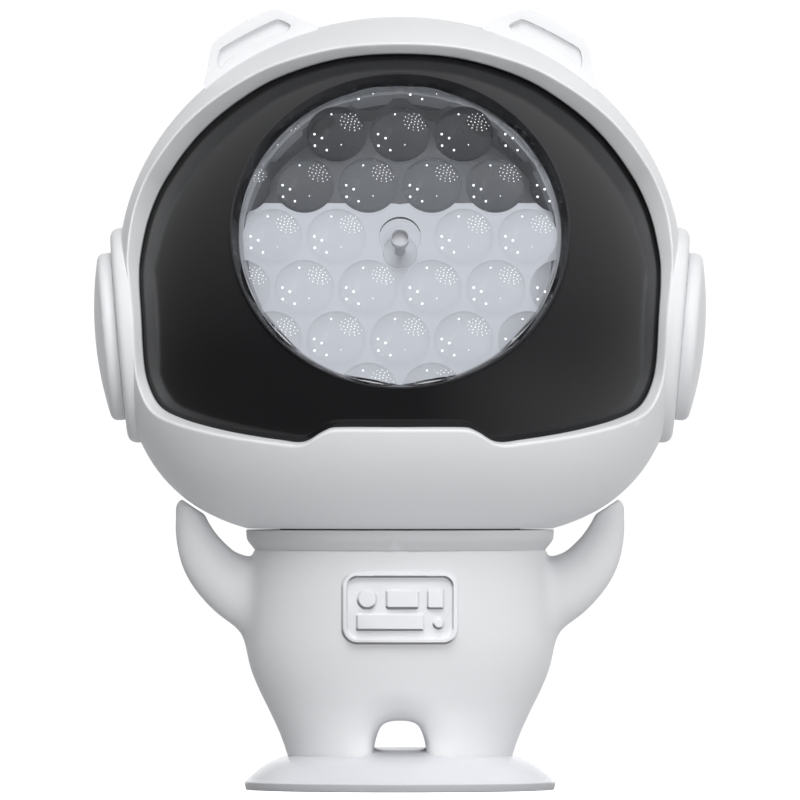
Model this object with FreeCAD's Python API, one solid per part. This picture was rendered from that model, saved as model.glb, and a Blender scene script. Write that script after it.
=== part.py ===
import FreeCAD, Part
import math
import os
from FreeCAD import Placement, Rotation, Vector

# Planetarium projector: a domed base, a small figure-like stand with raised arms, and a large helmet
# that turns on its collar. A tilted lens window in the visor holds a turning disc of bubble lenses.
# Millimetres, +Z up, front towards -Y, origin at the middle of the underside of the base.

# General fits
WALL = 2.6
RUNNING_FIT = 0.05
SEAT_GAP = 0.05
HEAD_GAP = 0.3
OVERRUN = 20.0

# Base
BASE_RADIUS = 38.9
BASE_RIM_BOTTOM = 0.3
BASE_RIM_TOP = 1.75
BASE_DOME_HEIGHT = 10.75
BASE_CAVITY_TOP = 6.4
FOOT_PAD_RADIUS = 36.0
FOOT_PAD_HEIGHT = 1.5
BALLAST_RADIUS = 33.0
BALLAST_HEIGHT = 2.8
DOME_RADIUS_SHARES = (1.0, 0.998, 0.979, 0.951, 0.913, 0.868, 0.807, 0.7, 0.45)
DOME_HEIGHT_SHARES = (0.0, 0.04, 0.1, 0.22, 0.36, 0.5, 0.64, 0.79, 0.94)

# Torso: half widths, half depths and levels, each as shares of its full size
TORSO_HALF_WIDTH = 38.9
TORSO_HALF_DEPTH = 36.0
TORSO_TOP = 60.3
TORSO_WIDTH_SHARES = (0.715, 0.765, 0.834, 0.91, 0.97, 1.0, 0.99, 0.938)
TORSO_DEPTH_SHARES = (0.72, 0.755, 0.8, 0.85, 0.895, 0.93, 0.98, 1.0)
TORSO_LEVEL_SHARES = (0.13, 0.224, 0.323, 0.423, 0.523, 0.622, 0.8, 1.0)
DECK_HEIGHT = 2.5
DECK_HOLE_RADIUS = 25.2
LEG_GAP_FOOT_WIDTH = 13.2
LEG_GAP_TOP_WIDTH = 5.2
LEG_GAP_TOP = 17.6
LEG_FLOOR_HEIGHT = 3.0

# Arms: a spine of points from the shoulder to the tip, and a radius at each
ARM_SPAN = 53.9
ARM_TOP = 73.4
ARM_ROOT_RADIUS = 9.8
ARM_SPINE_SHARES = ((0.5, 0.605), (0.7, 0.668), (0.84, 0.735), (0.91, 0.8), (0.955, 0.875), (0.98, 0.955))
ARM_RADIUS_SHARES = (1.04, 0.94, 0.73, 0.62, 0.48, 0.34)
ARM_TIP_RADIUS_SHARE = 0.34
ARM_HELMET_GAP = 0.4

# Chest panel: a rounded frame with plain raised shapes, measured across and up
PANEL_WIDTH = 29.5
PANEL_HEIGHT = 18.6
PANEL_MIDDLE = 45.9
PANEL_CORNER = 4.2
PANEL_RIM = 1.5
PANEL_PROUD = 0.9
PANEL_FLOOR_DEPTH = 0.5
PANEL_DEPTH = 1.6
PANEL_SHAPE_RISE = 0.4
PANEL_ROUND_SHARES = ((-0.278, 0.113, 0.17), (0.325, -0.21, 0.1))
PANEL_BAR_SHARES = ((0.02, 0.118, 0.281, 0.269), (0.299, 0.115, 0.147, 0.274), (-0.084, -0.191, 0.575, 0.242))

# Collar and head bearing
COLLAR_RADIUS = 38.5
COLLAR_HEIGHT = 4.8
COLLAR_WEB = 2.7
COLLAR_RIM_WIDTH = 4.0
COLLAR_FOOT_RADIUS = 36.3
COLLAR_TOP_RADIUS = 38.1
COLLAR_SHOULDER_SHARE = 0.8
WASHER_INNER = 24.0
WASHER_OUTER = 30.0
NECK_RADIUS = 14.0
NECK_BORE_RADIUS = 9.0
NECK_FLANGE_RADIUS = 22.0
NECK_FLANGE_HEIGHT = 2.4
NECK_TUBE_REACH = 3.2
RETAINER_HEIGHT = 2.2
RETAINER_RADIUS = 18.5
RETAINER_PLAY = 0.3
STOP_PIN_RADIUS = 1.5
STOP_PIN_PLACE = 21.6
STOP_LUG_WIDTH = 7.4
STOP_LUG_REACH = 23.4

# Helmet
HELMET_HALF_WIDTH = 70.4
HELMET_HALF_DEPTH = 66.0
HELMET_HEIGHT = 127.9
HELMET_SEAT_RADIUS = 38.2
HELMET_WIDEST_SHARE = 0.505
HELMET_DEEPEST_SHARE = 0.388
HELMET_LEVEL_SHARES = (0.0, 0.035, 0.085, 0.16, 0.26, 0.38, 0.505, 0.62, 0.73, 0.83, 0.91, 0.965, 0.992, 1.0)
HELMET_SPLIT = 9.0
HELMET_JAW_POWER = 3.2
HELMET_CHIN_POWER = 2.5

# Visor: a slightly narrowed sphere whose middle is also the middle of the lens axis
VISOR_RADIUS = 74.0
VISOR_HALF_BREADTH = 69.2
VISOR_WALL = 2.2
VISOR_BACKSET = 10.0
VISOR_MIDDLE = 117.3
VISOR_OPENING_HALF_WIDTH = 65.1
VISOR_OPENING_BOTTOM = 86.75
VISOR_OPENING_HEIGHT = 97.0
VISOR_OUTLINE_SHARES = ((0.306, 0.977), (0.551, 0.91), (0.751, 0.807), (0.897, 0.678), (0.981, 0.539),
                        (1.0, 0.42), (0.988, 0.281), (0.974, 0.178), (0.937, 0.111), (0.872, 0.072),
                        (0.71, 0.039), (0.536, 0.0155), (0.4, 0.002))
VISOR_NOTCH_SHARES = (0.261, 0.041)
SIGHT_POINT_DEPTH = 60.0
SIGHT_POINT_HEIGHT = 119.0
LIP_WIDTH = 5.0
VISOR_TUCK = 3.6

# Lens window, along its own axis from the visor's middle
LENS_TILT = 21.4
BEZEL_RADIUS = 42.2
BEZEL_WALL = 1.0
BEZEL_FRONT = 61.0
BEZEL_LIP = 58.0
BEZEL_BACK = 51.5
BEZEL_OPENING = 40.0
DISC_RADIUS = 40.8
DISC_FRONT = 57.0
DISC_THICKNESS = 1.6
BUBBLE_PITCH = 15.8
BUBBLE_HEIGHT = 2.4
BUBBLE_RADIUS = 7.4
BUBBLE_LIMIT = 39.6
BUBBLE_EDGE_SHARE = 0.75
HUB_RADIUS = 5.2
HUB_DEPTH = 0.8
SPINDLE_RADIUS = 2.2
SPINDLE_SHOULDER_RADIUS = 4.4
SPINDLE_BACK = 18.5
CUP_WALL = 2.1
CUP_RADIUS = 41.0
CUP_BACK = 34.0
CUP_FLOOR = 1.6
CUP_SHOULDER = 46.0
CUP_FLANGE_RADIUS = 46.0
DIFFUSER_LEVEL = 13.0
DIFFUSER_FRONT = 46.0
DIFFUSER_THICKNESS = 1.5
DIFFUSER_POST_SHARES = (0.75, -0.3)
LED_BOARD_THICKNESS = 1.6
LED_BOARD_HOLE = 8.0
LED_SIZE = 5.0
LED_HEIGHT = 1.5
LED_DOME_SHARE = 0.4
LED_PLACE_SHARES = ((-0.55, -0.1), (0.55, -0.1), (-0.35, -0.6), (0.35, -0.6))
BUSH_RADIUS = 5.0
BUSH_FLANGE_RADIUS = 7.4
BUSH_FLANGE_HEIGHT = 1.4
BUSH_BACK = 29.3

# Drive
GEAR_MODULE = 0.6
GEAR_TEETH = 60
PINION_TEETH = 10
GEAR_BACK = 23.0
GEAR_HEIGHT = 3.0
GEAR_HUB_RADIUS = 5.0
TOOTH_ADDENDUM = 0.45
TOOTH_DEDENDUM = 0.75
TOOTH_ROOT_SHARE = 0.27
TOOTH_TIP_SHARE = 0.12
MOTOR_RADIUS = 12.0
MOTOR_LENGTH = 19.0
MOTOR_SHAFT_RADIUS = 0.75
MOTOR_BOSS_RADIUS = 3.0
MOTOR_SCREW_SHARE = 0.65
BRACKET_FRONT = 21.0
BRACKET_THICKNESS = 2.0
BRACKET_HALF_WIDTH = 30.0
BRACKET_POST_RADIUS = 3.2
BRACKET_POST_PLACES = ((-26.0, 14.0), (26.0, 14.0), (-24.0, -10.0), (24.0, -10.0))
HEAT_SINK_WIDTH = 30.0
HEAT_SINK_HEIGHT = 14.0
HEAT_SINK_PLACE = 28.5
HEAT_SINK_BASE = 2.6
HEAT_SINK_FIN_LENGTH = 9.0
HEAT_SINK_FINS = 7
HEAT_SINK_FIN_SHARE = 0.4
HEAT_SINK_POST_RADIUS = 6.0

# Ears
EAR_PAD_RADIUS = 27.0
EAR_CAP_RADIUS = 21.0
EAR_NECK_RADIUS = 19.0
EAR_PLACE = 70.4
EAR_DEPTH_PLACE = 6.0
EAR_LEVEL = 113.5
EAR_TILT = 5.0
EAR_PAD_DEPTH = 13.0
EAR_GROOVE = 1.1
EAR_CAP_RIM = 2.25
EAR_DOME_RISE = 2.5
EAR_ROUNDING = 3.0
EAR_CAP_ROUNDING = 1.9

# Fins
FIN_THICKNESS = 15.0
FIN_RECESS = 1.4
FIN_INNER = 20.5
FIN_OUTER = 49.25
FIN_TOP = 195.0
FIN_HEIGHT = 22.0
FIN_OUTLINE_SHARES = ((0.99, 0.18), (0.965, 0.3), (0.935, 0.535), (0.912, 0.614), (0.86, 0.682), (0.765, 0.762),
                      (0.65, 0.856), (0.44, 0.98), (0.38, 1.0), (0.32, 0.99), (0.0, 0.81))
FIN_ROOT_SHARES = (0.875, -0.25)
FIN_RECESS_SHARES = ((0.87, 0.4), (0.852, 0.535), (0.826, 0.57), (0.635, 0.716), (0.46, 0.83), (0.363, 0.886),
                     (0.33, 0.886), (0.238, 0.82), (0.245, 0.785), (0.28, 0.75), (0.415, 0.693),
                     (0.635, 0.557), (0.783, 0.42), (0.852, 0.33))

# Screws
SCREW_RADIUS = 1.5
SCREW_HEAD_RADIUS = 2.8
SCREW_HEAD_HEIGHT = 1.8
SCREW_LENGTH = 14.0
SCREW_BOSS_RADIUS = 4.2
SCREW_WELL = 0.4
SMALL_SCREW_RADIUS = 1.0
SMALL_SCREW_HEAD_RADIUS = 1.9
SMALL_SCREW_HEAD_HEIGHT = 1.2
HELMET_SCREW_PLACES = ((28.0, 71.6),)
HELMET_TONGUE = 1.4
HELMET_TONGUE_REACH = 4.0
HELMET_TONGUE_LEVEL = 76.0
HELMET_SCREW_SEAT = 4.5
HELMET_BOSS_FRONT = 15.0
TORSO_SCREW_PLACES = ((24.0, 50.0), (22.0, 26.0))
TORSO_SCREW_SEAT = 12.5
TORSO_BOSS_FRONT = 40.0
BASE_SCREW_PLACE = (17.0, 11.0)
BASE_SCREW_LENGTH = 9.0
COLLAR_SCREW_PLACE = 31.0
NECK_SCREW_PLACE = 18.0
NECK_SCREW_GRIP_SHARE = 0.8
QUARTER_TURNS = (45, 135, 225, 315)
SCREW_HEAD_ROUND_SHARE = 0.33
SCREW_SLOT_LENGTH_SHARE = 0.6
SCREW_SLOT_WIDTH_SHARE = 0.25
SCREW_SLOT_DEPTH_SHARE = 0.5

# Control board, buttons and power inlet
BOARD_BACK = 21.6
BOARD_THICKNESS = 1.6
BOARD_HALF_WIDTH = 17.0
BOARD_BOTTOM = 21.0
BOARD_TOP = 54.0
BOARD_SCREW_PLACE = (13.5, 27.0)
BOARD_SCREW_TOP = 51.5
BUTTON_RADIUS = 4.4
BUTTON_PITCH = 11.0
BUTTON_LEVEL = 44.0
BUTTON_PROUD = 1.3
BUTTON_TRAVEL = 0.8
BUTTON_FLANGE = 0.9
BUTTON_FLANGE_HEIGHT = 1.2
BUTTON_STEM_RADIUS = 1.6
BUTTON_GUIDE_WALL = 1.0
BUTTON_GUIDE_FRONT = 28.4
SWITCH_SIZE = 5.0
SWITCH_HEIGHT = 2.2
INLET_WIDTH = 9.0
INLET_HEIGHT = 3.2
INLET_LEVEL = 25.5
INLET_LENGTH = 8.0
INLET_SHELL = 0.4
INLET_TONGUE = 0.7
INLET_FLOOR_SHARE = 0.25
INLET_TONGUE_INSET_SHARE = 0.2
LEAD_RADIUS = 1.6
LEAD_BEND = 8.0
LEAD_LOOP_SHARE = 1.5
LEAD_JOIN = 53.0
LEAD_RISE = 84.0
COUPLER_RADIUS = 4.0
COUPLER_HEIGHT = 5.0
LEAD_PLACE = (20.0, -29.0)

# Levels and middles that follow from the sizes above
COLLAR_TOP = TORSO_TOP + COLLAR_HEIGHT
HELMET_FLOOR = COLLAR_TOP + HEAD_GAP
HELMET_TOP = HELMET_FLOOR + HELMET_HEIGHT
UP = Vector(0, 0, 1)
BACK = Vector(0, 1, 0)
ACROSS = Vector(1, 0, 0)
LENS_MIDDLE = Vector(0, VISOR_BACKSET, VISOR_MIDDLE)
LENS_PLACE = Placement(LENS_MIDDLE, Rotation(ACROSS, 90 - LENS_TILT))
GEAR_RADIUS = GEAR_MODULE * GEAR_TEETH / 2
PINION_RADIUS = GEAR_MODULE * PINION_TEETH / 2
GEAR_CENTRES = GEAR_RADIUS + PINION_RADIUS


def cylinder(radius, bottom, top, x=0, y=0):
    return Part.makeCylinder(radius, top - bottom, Vector(x, y, bottom), UP)


def ring(outer, inner, bottom, top, x=0, y=0):
    return cylinder(outer, bottom, top, x, y).cut(cylinder(inner, bottom - OVERRUN, top + OVERRUN, x, y))


def box(low, high):
    return Part.makeBox(high[0] - low[0], high[1] - low[1], high[2] - low[2], Vector(*low))


def rod(radius, front, back, x, z):
    return Part.makeCylinder(radius, back - front, Vector(x, front, z), BACK)


def turned(points):
    """Solid turned about +Z from an outline of (radius, height) points."""
    corners = [Vector(radius, 0, height) for radius, height in points]
    face = Part.Face(Part.makePolygon(corners + corners[:1]))
    return face.revolve(Vector(0, 0, 0), UP, 360)


def in_lens(shape):
    """Copy of a shape that was drawn along +Z, set on the lens axis."""
    placed = shape.copy()
    placed.Placement = LENS_PLACE.multiply(placed.Placement)
    return placed


def joined(shapes):
    return shapes[0].multiFuse(shapes[1:]).removeSplitter()


def mirrored(shape):
    return shape.mirror(Vector(0, 0, 0), ACROSS)


def prism(points, front, back, curved=False):
    """Prism along +Y through an outline of (x, z) points."""
    corners = [Vector(x, front, z) for x, z in points]
    if curved:
        line = Part.BSplineCurve()
        line.interpolate(Points=corners, PeriodicFlag=True)
        wire = Part.Wire(line.toShape())
    else:
        wire = Part.makePolygon(corners + corners[:1])
    return Part.Face(wire).extrude(Vector(0, back - front, 0))


def oval_body(rows, closed_top=False):
    """Solid with an oval at each level, from (half width, half depth, height) rows, lowest first."""
    points = [Vector(*row) for row in rows]
    line = Part.BSplineCurve()
    if closed_top:
        line.interpolate(Points=points, InitialTangent=points[1] - points[0],
                         FinalTangent=Vector(-points[-2].x, -points[-2].y, 0))
    else:
        line.interpolate(Points=points)
    quarter = math.sqrt(0.5)
    circle = ((0, 1), (-1, 1), (-1, 0), (-1, -1), (0, -1), (1, -1), (1, 0), (1, 1), (0, 1))
    weights = (1, quarter, 1, quarter, 1, quarter, 1, quarter, 1)
    poles = [[Vector(pole.x * x, pole.y * y, pole.z) for x, y in circle] for pole in line.getPoles()]
    surface = Part.BSplineSurface()
    surface.buildFromPolesMultsKnots(poles, line.getMultiplicities(), [3, 2, 2, 2, 3], line.getKnots(),
                                     [0, 1, 2, 3, 4], False, False, line.Degree, 2, [weights] * len(poles))
    skin = surface.toShape()
    rims = [edge for edge in skin.Edges if edge.BoundBox.ZLength < RUNNING_FIT and edge.Length > WALL]
    shell = Part.makeShell([skin] + [Part.Face(Part.Wire(rim)) for rim in rims])
    shell.sewShape()
    solid = Part.makeSolid(shell)
    if solid.Volume < 0:
        solid.reverse()
    return solid


def helmet_body(inset=0):
    """The helmet's outer form, made smaller all round by an inset."""
    half_width = HELMET_HALF_WIDTH - inset
    half_depth = HELMET_HALF_DEPTH - inset
    seat = HELMET_SEAT_RADIUS - inset
    floor = HELMET_FLOOR + inset
    height = HELMET_HEIGHT - 2 * inset

    def reach(level, middle, full, power):
        if level >= middle:
            rise = (level - middle) / (height - middle)
            return full * math.sqrt(max(0, 1 - rise ** 2))
        foot = (1 - (seat / full) ** power) ** (1 / power)
        return full * (1 - (foot * (middle - level) / middle) ** power) ** (1 / power)

    rows = []
    for share in HELMET_LEVEL_SHARES:
        level = share * height
        width = reach(level, HELMET_WIDEST_SHARE * height, half_width, HELMET_JAW_POWER)
        depth = reach(level, HELMET_DEEPEST_SHARE * height, half_depth, HELMET_CHIN_POWER)
        rows.append((width, depth, floor + level))
    return oval_body(rows, closed_top=True)


def torso_body(inset=0):
    """The torso's outer form, from the feet to the collar, made smaller all round by an inset."""
    shares = zip(TORSO_WIDTH_SHARES, TORSO_DEPTH_SHARES, TORSO_LEVEL_SHARES)
    return oval_body([(TORSO_HALF_WIDTH * width - inset, TORSO_HALF_DEPTH * depth - inset, TORSO_TOP * level)
                      for width, depth, level in shares])


def arm_body(inset=0):
    """The right arm, a curved horn that swells at the shoulder and is round at the tip."""
    spine = [Vector(ARM_SPAN * x, 0, ARM_TOP * z) for x, z in ARM_SPINE_SHARES]
    wires = []
    for index, place in enumerate(spine):
        before = spine[max(index - 1, 0)]
        after = spine[min(index + 1, len(spine) - 1)]
        radius = ARM_ROOT_RADIUS * ARM_RADIUS_SHARES[index] - inset
        wires.append(Part.Wire(Part.Circle(place, after - before, radius).toShape()))
    tip = Part.makeSphere(ARM_ROOT_RADIUS * ARM_TIP_RADIUS_SHARE - inset, spine[-1])
    return Part.makeLoft(wires, True).fuse(tip)


def visor_ball(inset=0):
    """The visor's ball, narrowed across, made smaller all round by an inset."""
    ball = Part.makeSphere(VISOR_RADIUS - inset)
    narrow = FreeCAD.Matrix()
    narrow.scale(Vector((VISOR_HALF_BREADTH - inset) / (VISOR_RADIUS - inset), 1, 1))
    ball = ball.transformGeometry(narrow)
    ball.translate(LENS_MIDDLE)
    return ball


def sight_cone(grow=0):
    """Cone from the sight point inside the head through the visor's outline, widened by a margin."""
    sight = Vector(0, SIGHT_POINT_DEPTH, SIGHT_POINT_HEIGHT)
    middle = VISOR_OPENING_BOTTOM + VISOR_OPENING_HEIGHT / 2
    spread = 1 + grow / VISOR_OPENING_HALF_WIDTH

    def on_plane(shares, side, depth):
        x = side * shares[0] * VISOR_OPENING_HALF_WIDTH
        z = VISOR_OPENING_BOTTOM + shares[1] * VISOR_OPENING_HEIGHT
        across = (x / VISOR_HALF_BREADTH) ** 2
        rise = ((z - LENS_MIDDLE.z) / VISOR_RADIUS) ** 2
        y = LENS_MIDDLE.y - VISOR_RADIUS * math.sqrt(1 - across - rise)
        edge = Vector(x * spread, y, middle + (z - middle) * spread)
        return sight + (edge - sight) * ((depth - sight.y) / (edge.y - sight.y))

    wires = []
    for depth in (-HELMET_HALF_DEPTH - OVERRUN, HELMET_SPLIT):
        right = [on_plane(shares, 1, depth) for shares in VISOR_OUTLINE_SHARES]
        left = [on_plane(shares, -1, depth) for shares in VISOR_OUTLINE_SHARES]
        brow = Part.BSplineCurve()
        brow.interpolate(Points=left[::-1] + [on_plane((0, 1), 1, depth)] + right)
        notch = [on_plane(VISOR_NOTCH_SHARES, side, depth) for side in (1, -1)]
        notch = [right[-1]] + notch + [left[-1]]
        edges = [brow.toShape()] + [Part.LineSegment(a, b).toShape() for a, b in zip(notch, notch[1:])]
        wires.append(Part.Wire(edges))
    return Part.makeLoft(wires, True, True)


def ear_place(side):
    """Placement whose +Z points out of the head along one ear's axis."""
    turn = Rotation(BACK, side * (90 + EAR_TILT))
    return Placement(Vector(side * EAR_PLACE, EAR_DEPTH_PLACE, EAR_LEVEL), turn)


def set_in(shape, place):
    placed = shape.copy()
    placed.Placement = place.multiply(placed.Placement)
    return placed


def screw(radius, head_radius, head_height, length):
    """Pan-head screw along +Z with its head's underside at the origin and a cross recess in the head."""
    shank = Part.makeCylinder(radius, length, Vector(0, 0, -length), UP)
    head = Part.makeCylinder(head_radius, head_height)
    head = head.makeFillet(head_height * SCREW_HEAD_ROUND_SHARE, [head.Edges[0]])
    reach = head_radius * SCREW_SLOT_LENGTH_SHARE
    width = radius * SCREW_SLOT_WIDTH_SHARE
    floor = head_height * SCREW_SLOT_DEPTH_SHARE
    slots = []
    for turn in (0, 90):
        slot = box((-reach, -width, floor), (reach, width, head_height + OVERRUN))
        slot.rotate(Vector(0, 0, 0), UP, turn)
        slots.append(slot)
    return shank.fuse(head).cut(slots[0]).cut(slots[1])


def small_screw(length):
    return screw(SMALL_SCREW_RADIUS, SMALL_SCREW_HEAD_RADIUS, SMALL_SCREW_HEAD_HEIGHT, length)


def base_dome():
    """Outline of the base as (radius, height) points up to the middle of the dome."""
    rise = BASE_DOME_HEIGHT - BASE_RIM_TOP
    points = [(BASE_RADIUS * radius, BASE_RIM_TOP + rise * height)
              for radius, height in zip(DOME_RADIUS_SHARES, DOME_HEIGHT_SHARES)]
    return points + [(0, BASE_DOME_HEIGHT)]


def dome_solid(bottom):
    points = [Vector(radius, 0, height) for radius, height in base_dome()]
    line = Part.BSplineCurve()
    line.interpolate(Points=points)
    floor = [Vector(0, 0, BASE_DOME_HEIGHT), Vector(0, 0, bottom), Vector(BASE_RADIUS, 0, bottom), points[0]]
    edges = [line.toShape()] + [Part.LineSegment(a, b).toShape() for a, b in zip(floor, floor[1:])]
    return Part.Face(Part.Wire(edges)).revolve(Vector(0, 0, 0), UP, 360)


def base_screw_places():
    x, y = BASE_SCREW_PLACE
    return [(sign * x, end * y) for sign in (-1, 1) for end in (-1, 1)]


def base():
    """Foot pad, ballast, domed base plate and the screws into the feet."""
    plate = dome_solid(BASE_RIM_BOTTOM)
    plate = plate.cut(cylinder(BALLAST_RADIUS + SEAT_GAP, BASE_RIM_BOTTOM - OVERRUN, BASE_CAVITY_TOP))
    plate = plate.cut(cylinder(FOOT_PAD_RADIUS + SEAT_GAP, BASE_RIM_BOTTOM - OVERRUN, FOOT_PAD_HEIGHT))
    head_top = BASE_CAVITY_TOP - SCREW_HEAD_HEIGHT
    ballast = cylinder(BALLAST_RADIUS, FOOT_PAD_HEIGHT, FOOT_PAD_HEIGHT + BALLAST_HEIGHT)
    spacer = ring(BALLAST_RADIUS, BALLAST_RADIUS - WALL, FOOT_PAD_HEIGHT + BALLAST_HEIGHT, BASE_CAVITY_TOP)
    screws = []
    for x, y in base_screw_places():
        bolt = screw(SCREW_RADIUS, SCREW_HEAD_RADIUS, SCREW_HEAD_HEIGHT, BASE_SCREW_LENGTH)
        bolt.rotate(Vector(0, 0, 0), ACROSS, 180)
        bolt.translate(Vector(x, y, BASE_CAVITY_TOP))
        screws.append(bolt)
        plate = plate.cut(cylinder(SCREW_RADIUS, head_top, BASE_DOME_HEIGHT + OVERRUN, x, y))
    return {
        "foot_pad": cylinder(FOOT_PAD_RADIUS, 0, FOOT_PAD_HEIGHT),
        "ballast_plate": ballast.fuse(spacer).removeSplitter(),
        "base_plate": plate,
        "base_screws": Part.makeCompound(screws),
    }


def leg_gap():
    """Arch between the legs, right through from front to back."""
    foot = LEG_GAP_FOOT_WIDTH / 2
    top = LEG_GAP_TOP_WIDTH / 2
    depth = TORSO_HALF_DEPTH + OVERRUN
    foot_left = Vector(-foot, -depth, 0)
    foot_right = Vector(foot, -depth, 0)
    spring_left = Vector(-foot, -depth, BASE_DOME_HEIGHT)
    spring_right = Vector(foot, -depth, BASE_DOME_HEIGHT)
    crown_left = Vector(-top, -depth, LEG_GAP_TOP)
    crown_right = Vector(top, -depth, LEG_GAP_TOP)
    bulge = (foot + top) / 2 + (foot - top) / 4
    level = (BASE_DOME_HEIGHT + LEG_GAP_TOP) / 2
    sides = [Part.Arc(spring_right, Vector(bulge, -depth, level), crown_right).toShape(),
             Part.Arc(crown_left, Vector(-bulge, -depth, level), spring_left).toShape()]
    runs = ((foot_left, foot_right), (foot_right, spring_right), (crown_right, crown_left), (spring_left, foot_left))
    lines = [Part.LineSegment(start, end).toShape() for start, end in runs]
    wire = Part.Wire(Part.__sortEdges__(lines + sides))
    return Part.Face(wire).extrude(Vector(0, 2 * depth, 0))


def collar():
    """Collar ring with the head bearing, its screws, the washer and the stop pin."""
    web_top = TORSO_TOP + COLLAR_WEB
    rim_inner = COLLAR_RADIUS - COLLAR_RIM_WIDTH
    shoulder = TORSO_TOP + COLLAR_WEB * COLLAR_SHOULDER_SHARE
    bore = NECK_RADIUS + RUNNING_FIT
    body = turned([(bore, TORSO_TOP), (COLLAR_FOOT_RADIUS, TORSO_TOP), (COLLAR_RADIUS, shoulder),
                   (COLLAR_TOP_RADIUS, COLLAR_TOP), (rim_inner, COLLAR_TOP), (rim_inner, web_top), (bore, web_top)])
    screw_top = TORSO_TOP + COLLAR_WEB / 2
    screw_seat = TORSO_TOP - DECK_HEIGHT
    screws = []
    for turn in QUARTER_TURNS:
        bolt = small_screw(screw_top - screw_seat)
        bolt.rotate(Vector(0, 0, 0), ACROSS, 180)
        bolt.translate(Vector(COLLAR_SCREW_PLACE, 0, screw_seat))
        bolt.rotate(Vector(0, 0, 0), UP, turn)
        hole = cylinder(SMALL_SCREW_RADIUS, screw_seat, screw_top, COLLAR_SCREW_PLACE)
        hole.rotate(Vector(0, 0, 0), UP, turn)
        body = body.cut(hole)
        screws.append(bolt)
    pin = cylinder(STOP_PIN_RADIUS, TORSO_TOP - RETAINER_HEIGHT, web_top, 0, -STOP_PIN_PLACE)
    return {
        "collar_ring": body.cut(pin),
        "collar_screws": Part.makeCompound(screws),
        "thrust_washer": ring(WASHER_OUTER, WASHER_INNER, web_top, HELMET_FLOOR),
        "stop_pin": pin,
    }


def fastened(places, seat, split, boss_front):
    """Mirrored pairs of screws from the back through a split: screws, bosses, head wells and pilot holes."""
    screws, bosses, wells, pilots = [], [], [], []
    face = split + seat
    for x, z in places:
        for side in (-1, 1):
            bolt = screw(SCREW_RADIUS, SCREW_HEAD_RADIUS, SCREW_HEAD_HEIGHT, SCREW_LENGTH)
            bolt.rotate(Vector(0, 0, 0), ACROSS, -90)
            bolt.translate(Vector(side * x, face, z))
            screws.append(bolt)
            bosses.append(rod(SCREW_BOSS_RADIUS, split - boss_front, HELMET_HALF_DEPTH, side * x, z))
            wells.append(rod(SCREW_HEAD_RADIUS + SCREW_WELL, face, face + HELMET_HALF_DEPTH, side * x, z))
            pilots.append(rod(SCREW_RADIUS, face - SCREW_LENGTH, face, side * x, z))
    return screws, bosses, wells, pilots


def button_places():
    return (("power_button", -BUTTON_PITCH), ("mode_button", 0), ("timer_button", BUTTON_PITCH))


def torso_depth_at(x, z):
    """How far back the torso's outer face lies at a place on its back."""
    share = z / TORSO_TOP
    rows = list(zip(TORSO_LEVEL_SHARES, TORSO_WIDTH_SHARES, TORSO_DEPTH_SHARES))
    for low, high in zip(rows, rows[1:]):
        if low[0] <= share <= high[0]:
            part = (share - low[0]) / (high[0] - low[0])
            width = TORSO_HALF_WIDTH * (low[1] + part * (high[1] - low[1]))
            depth = TORSO_HALF_DEPTH * (low[2] + part * (high[2] - low[2]))
            return depth * math.sqrt(1 - (x / width) ** 2)
    return TORSO_HALF_DEPTH


def shell_halves(solid, split):
    """Front and rear parts of a solid on either side of a plane across Y."""
    size = HELMET_TOP + OVERRUN
    front = box((-size, -size, -size), (size, split, size))
    rear = box((-size, split, -size), (size, size, size))
    return solid.common(front), solid.common(rear)


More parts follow.
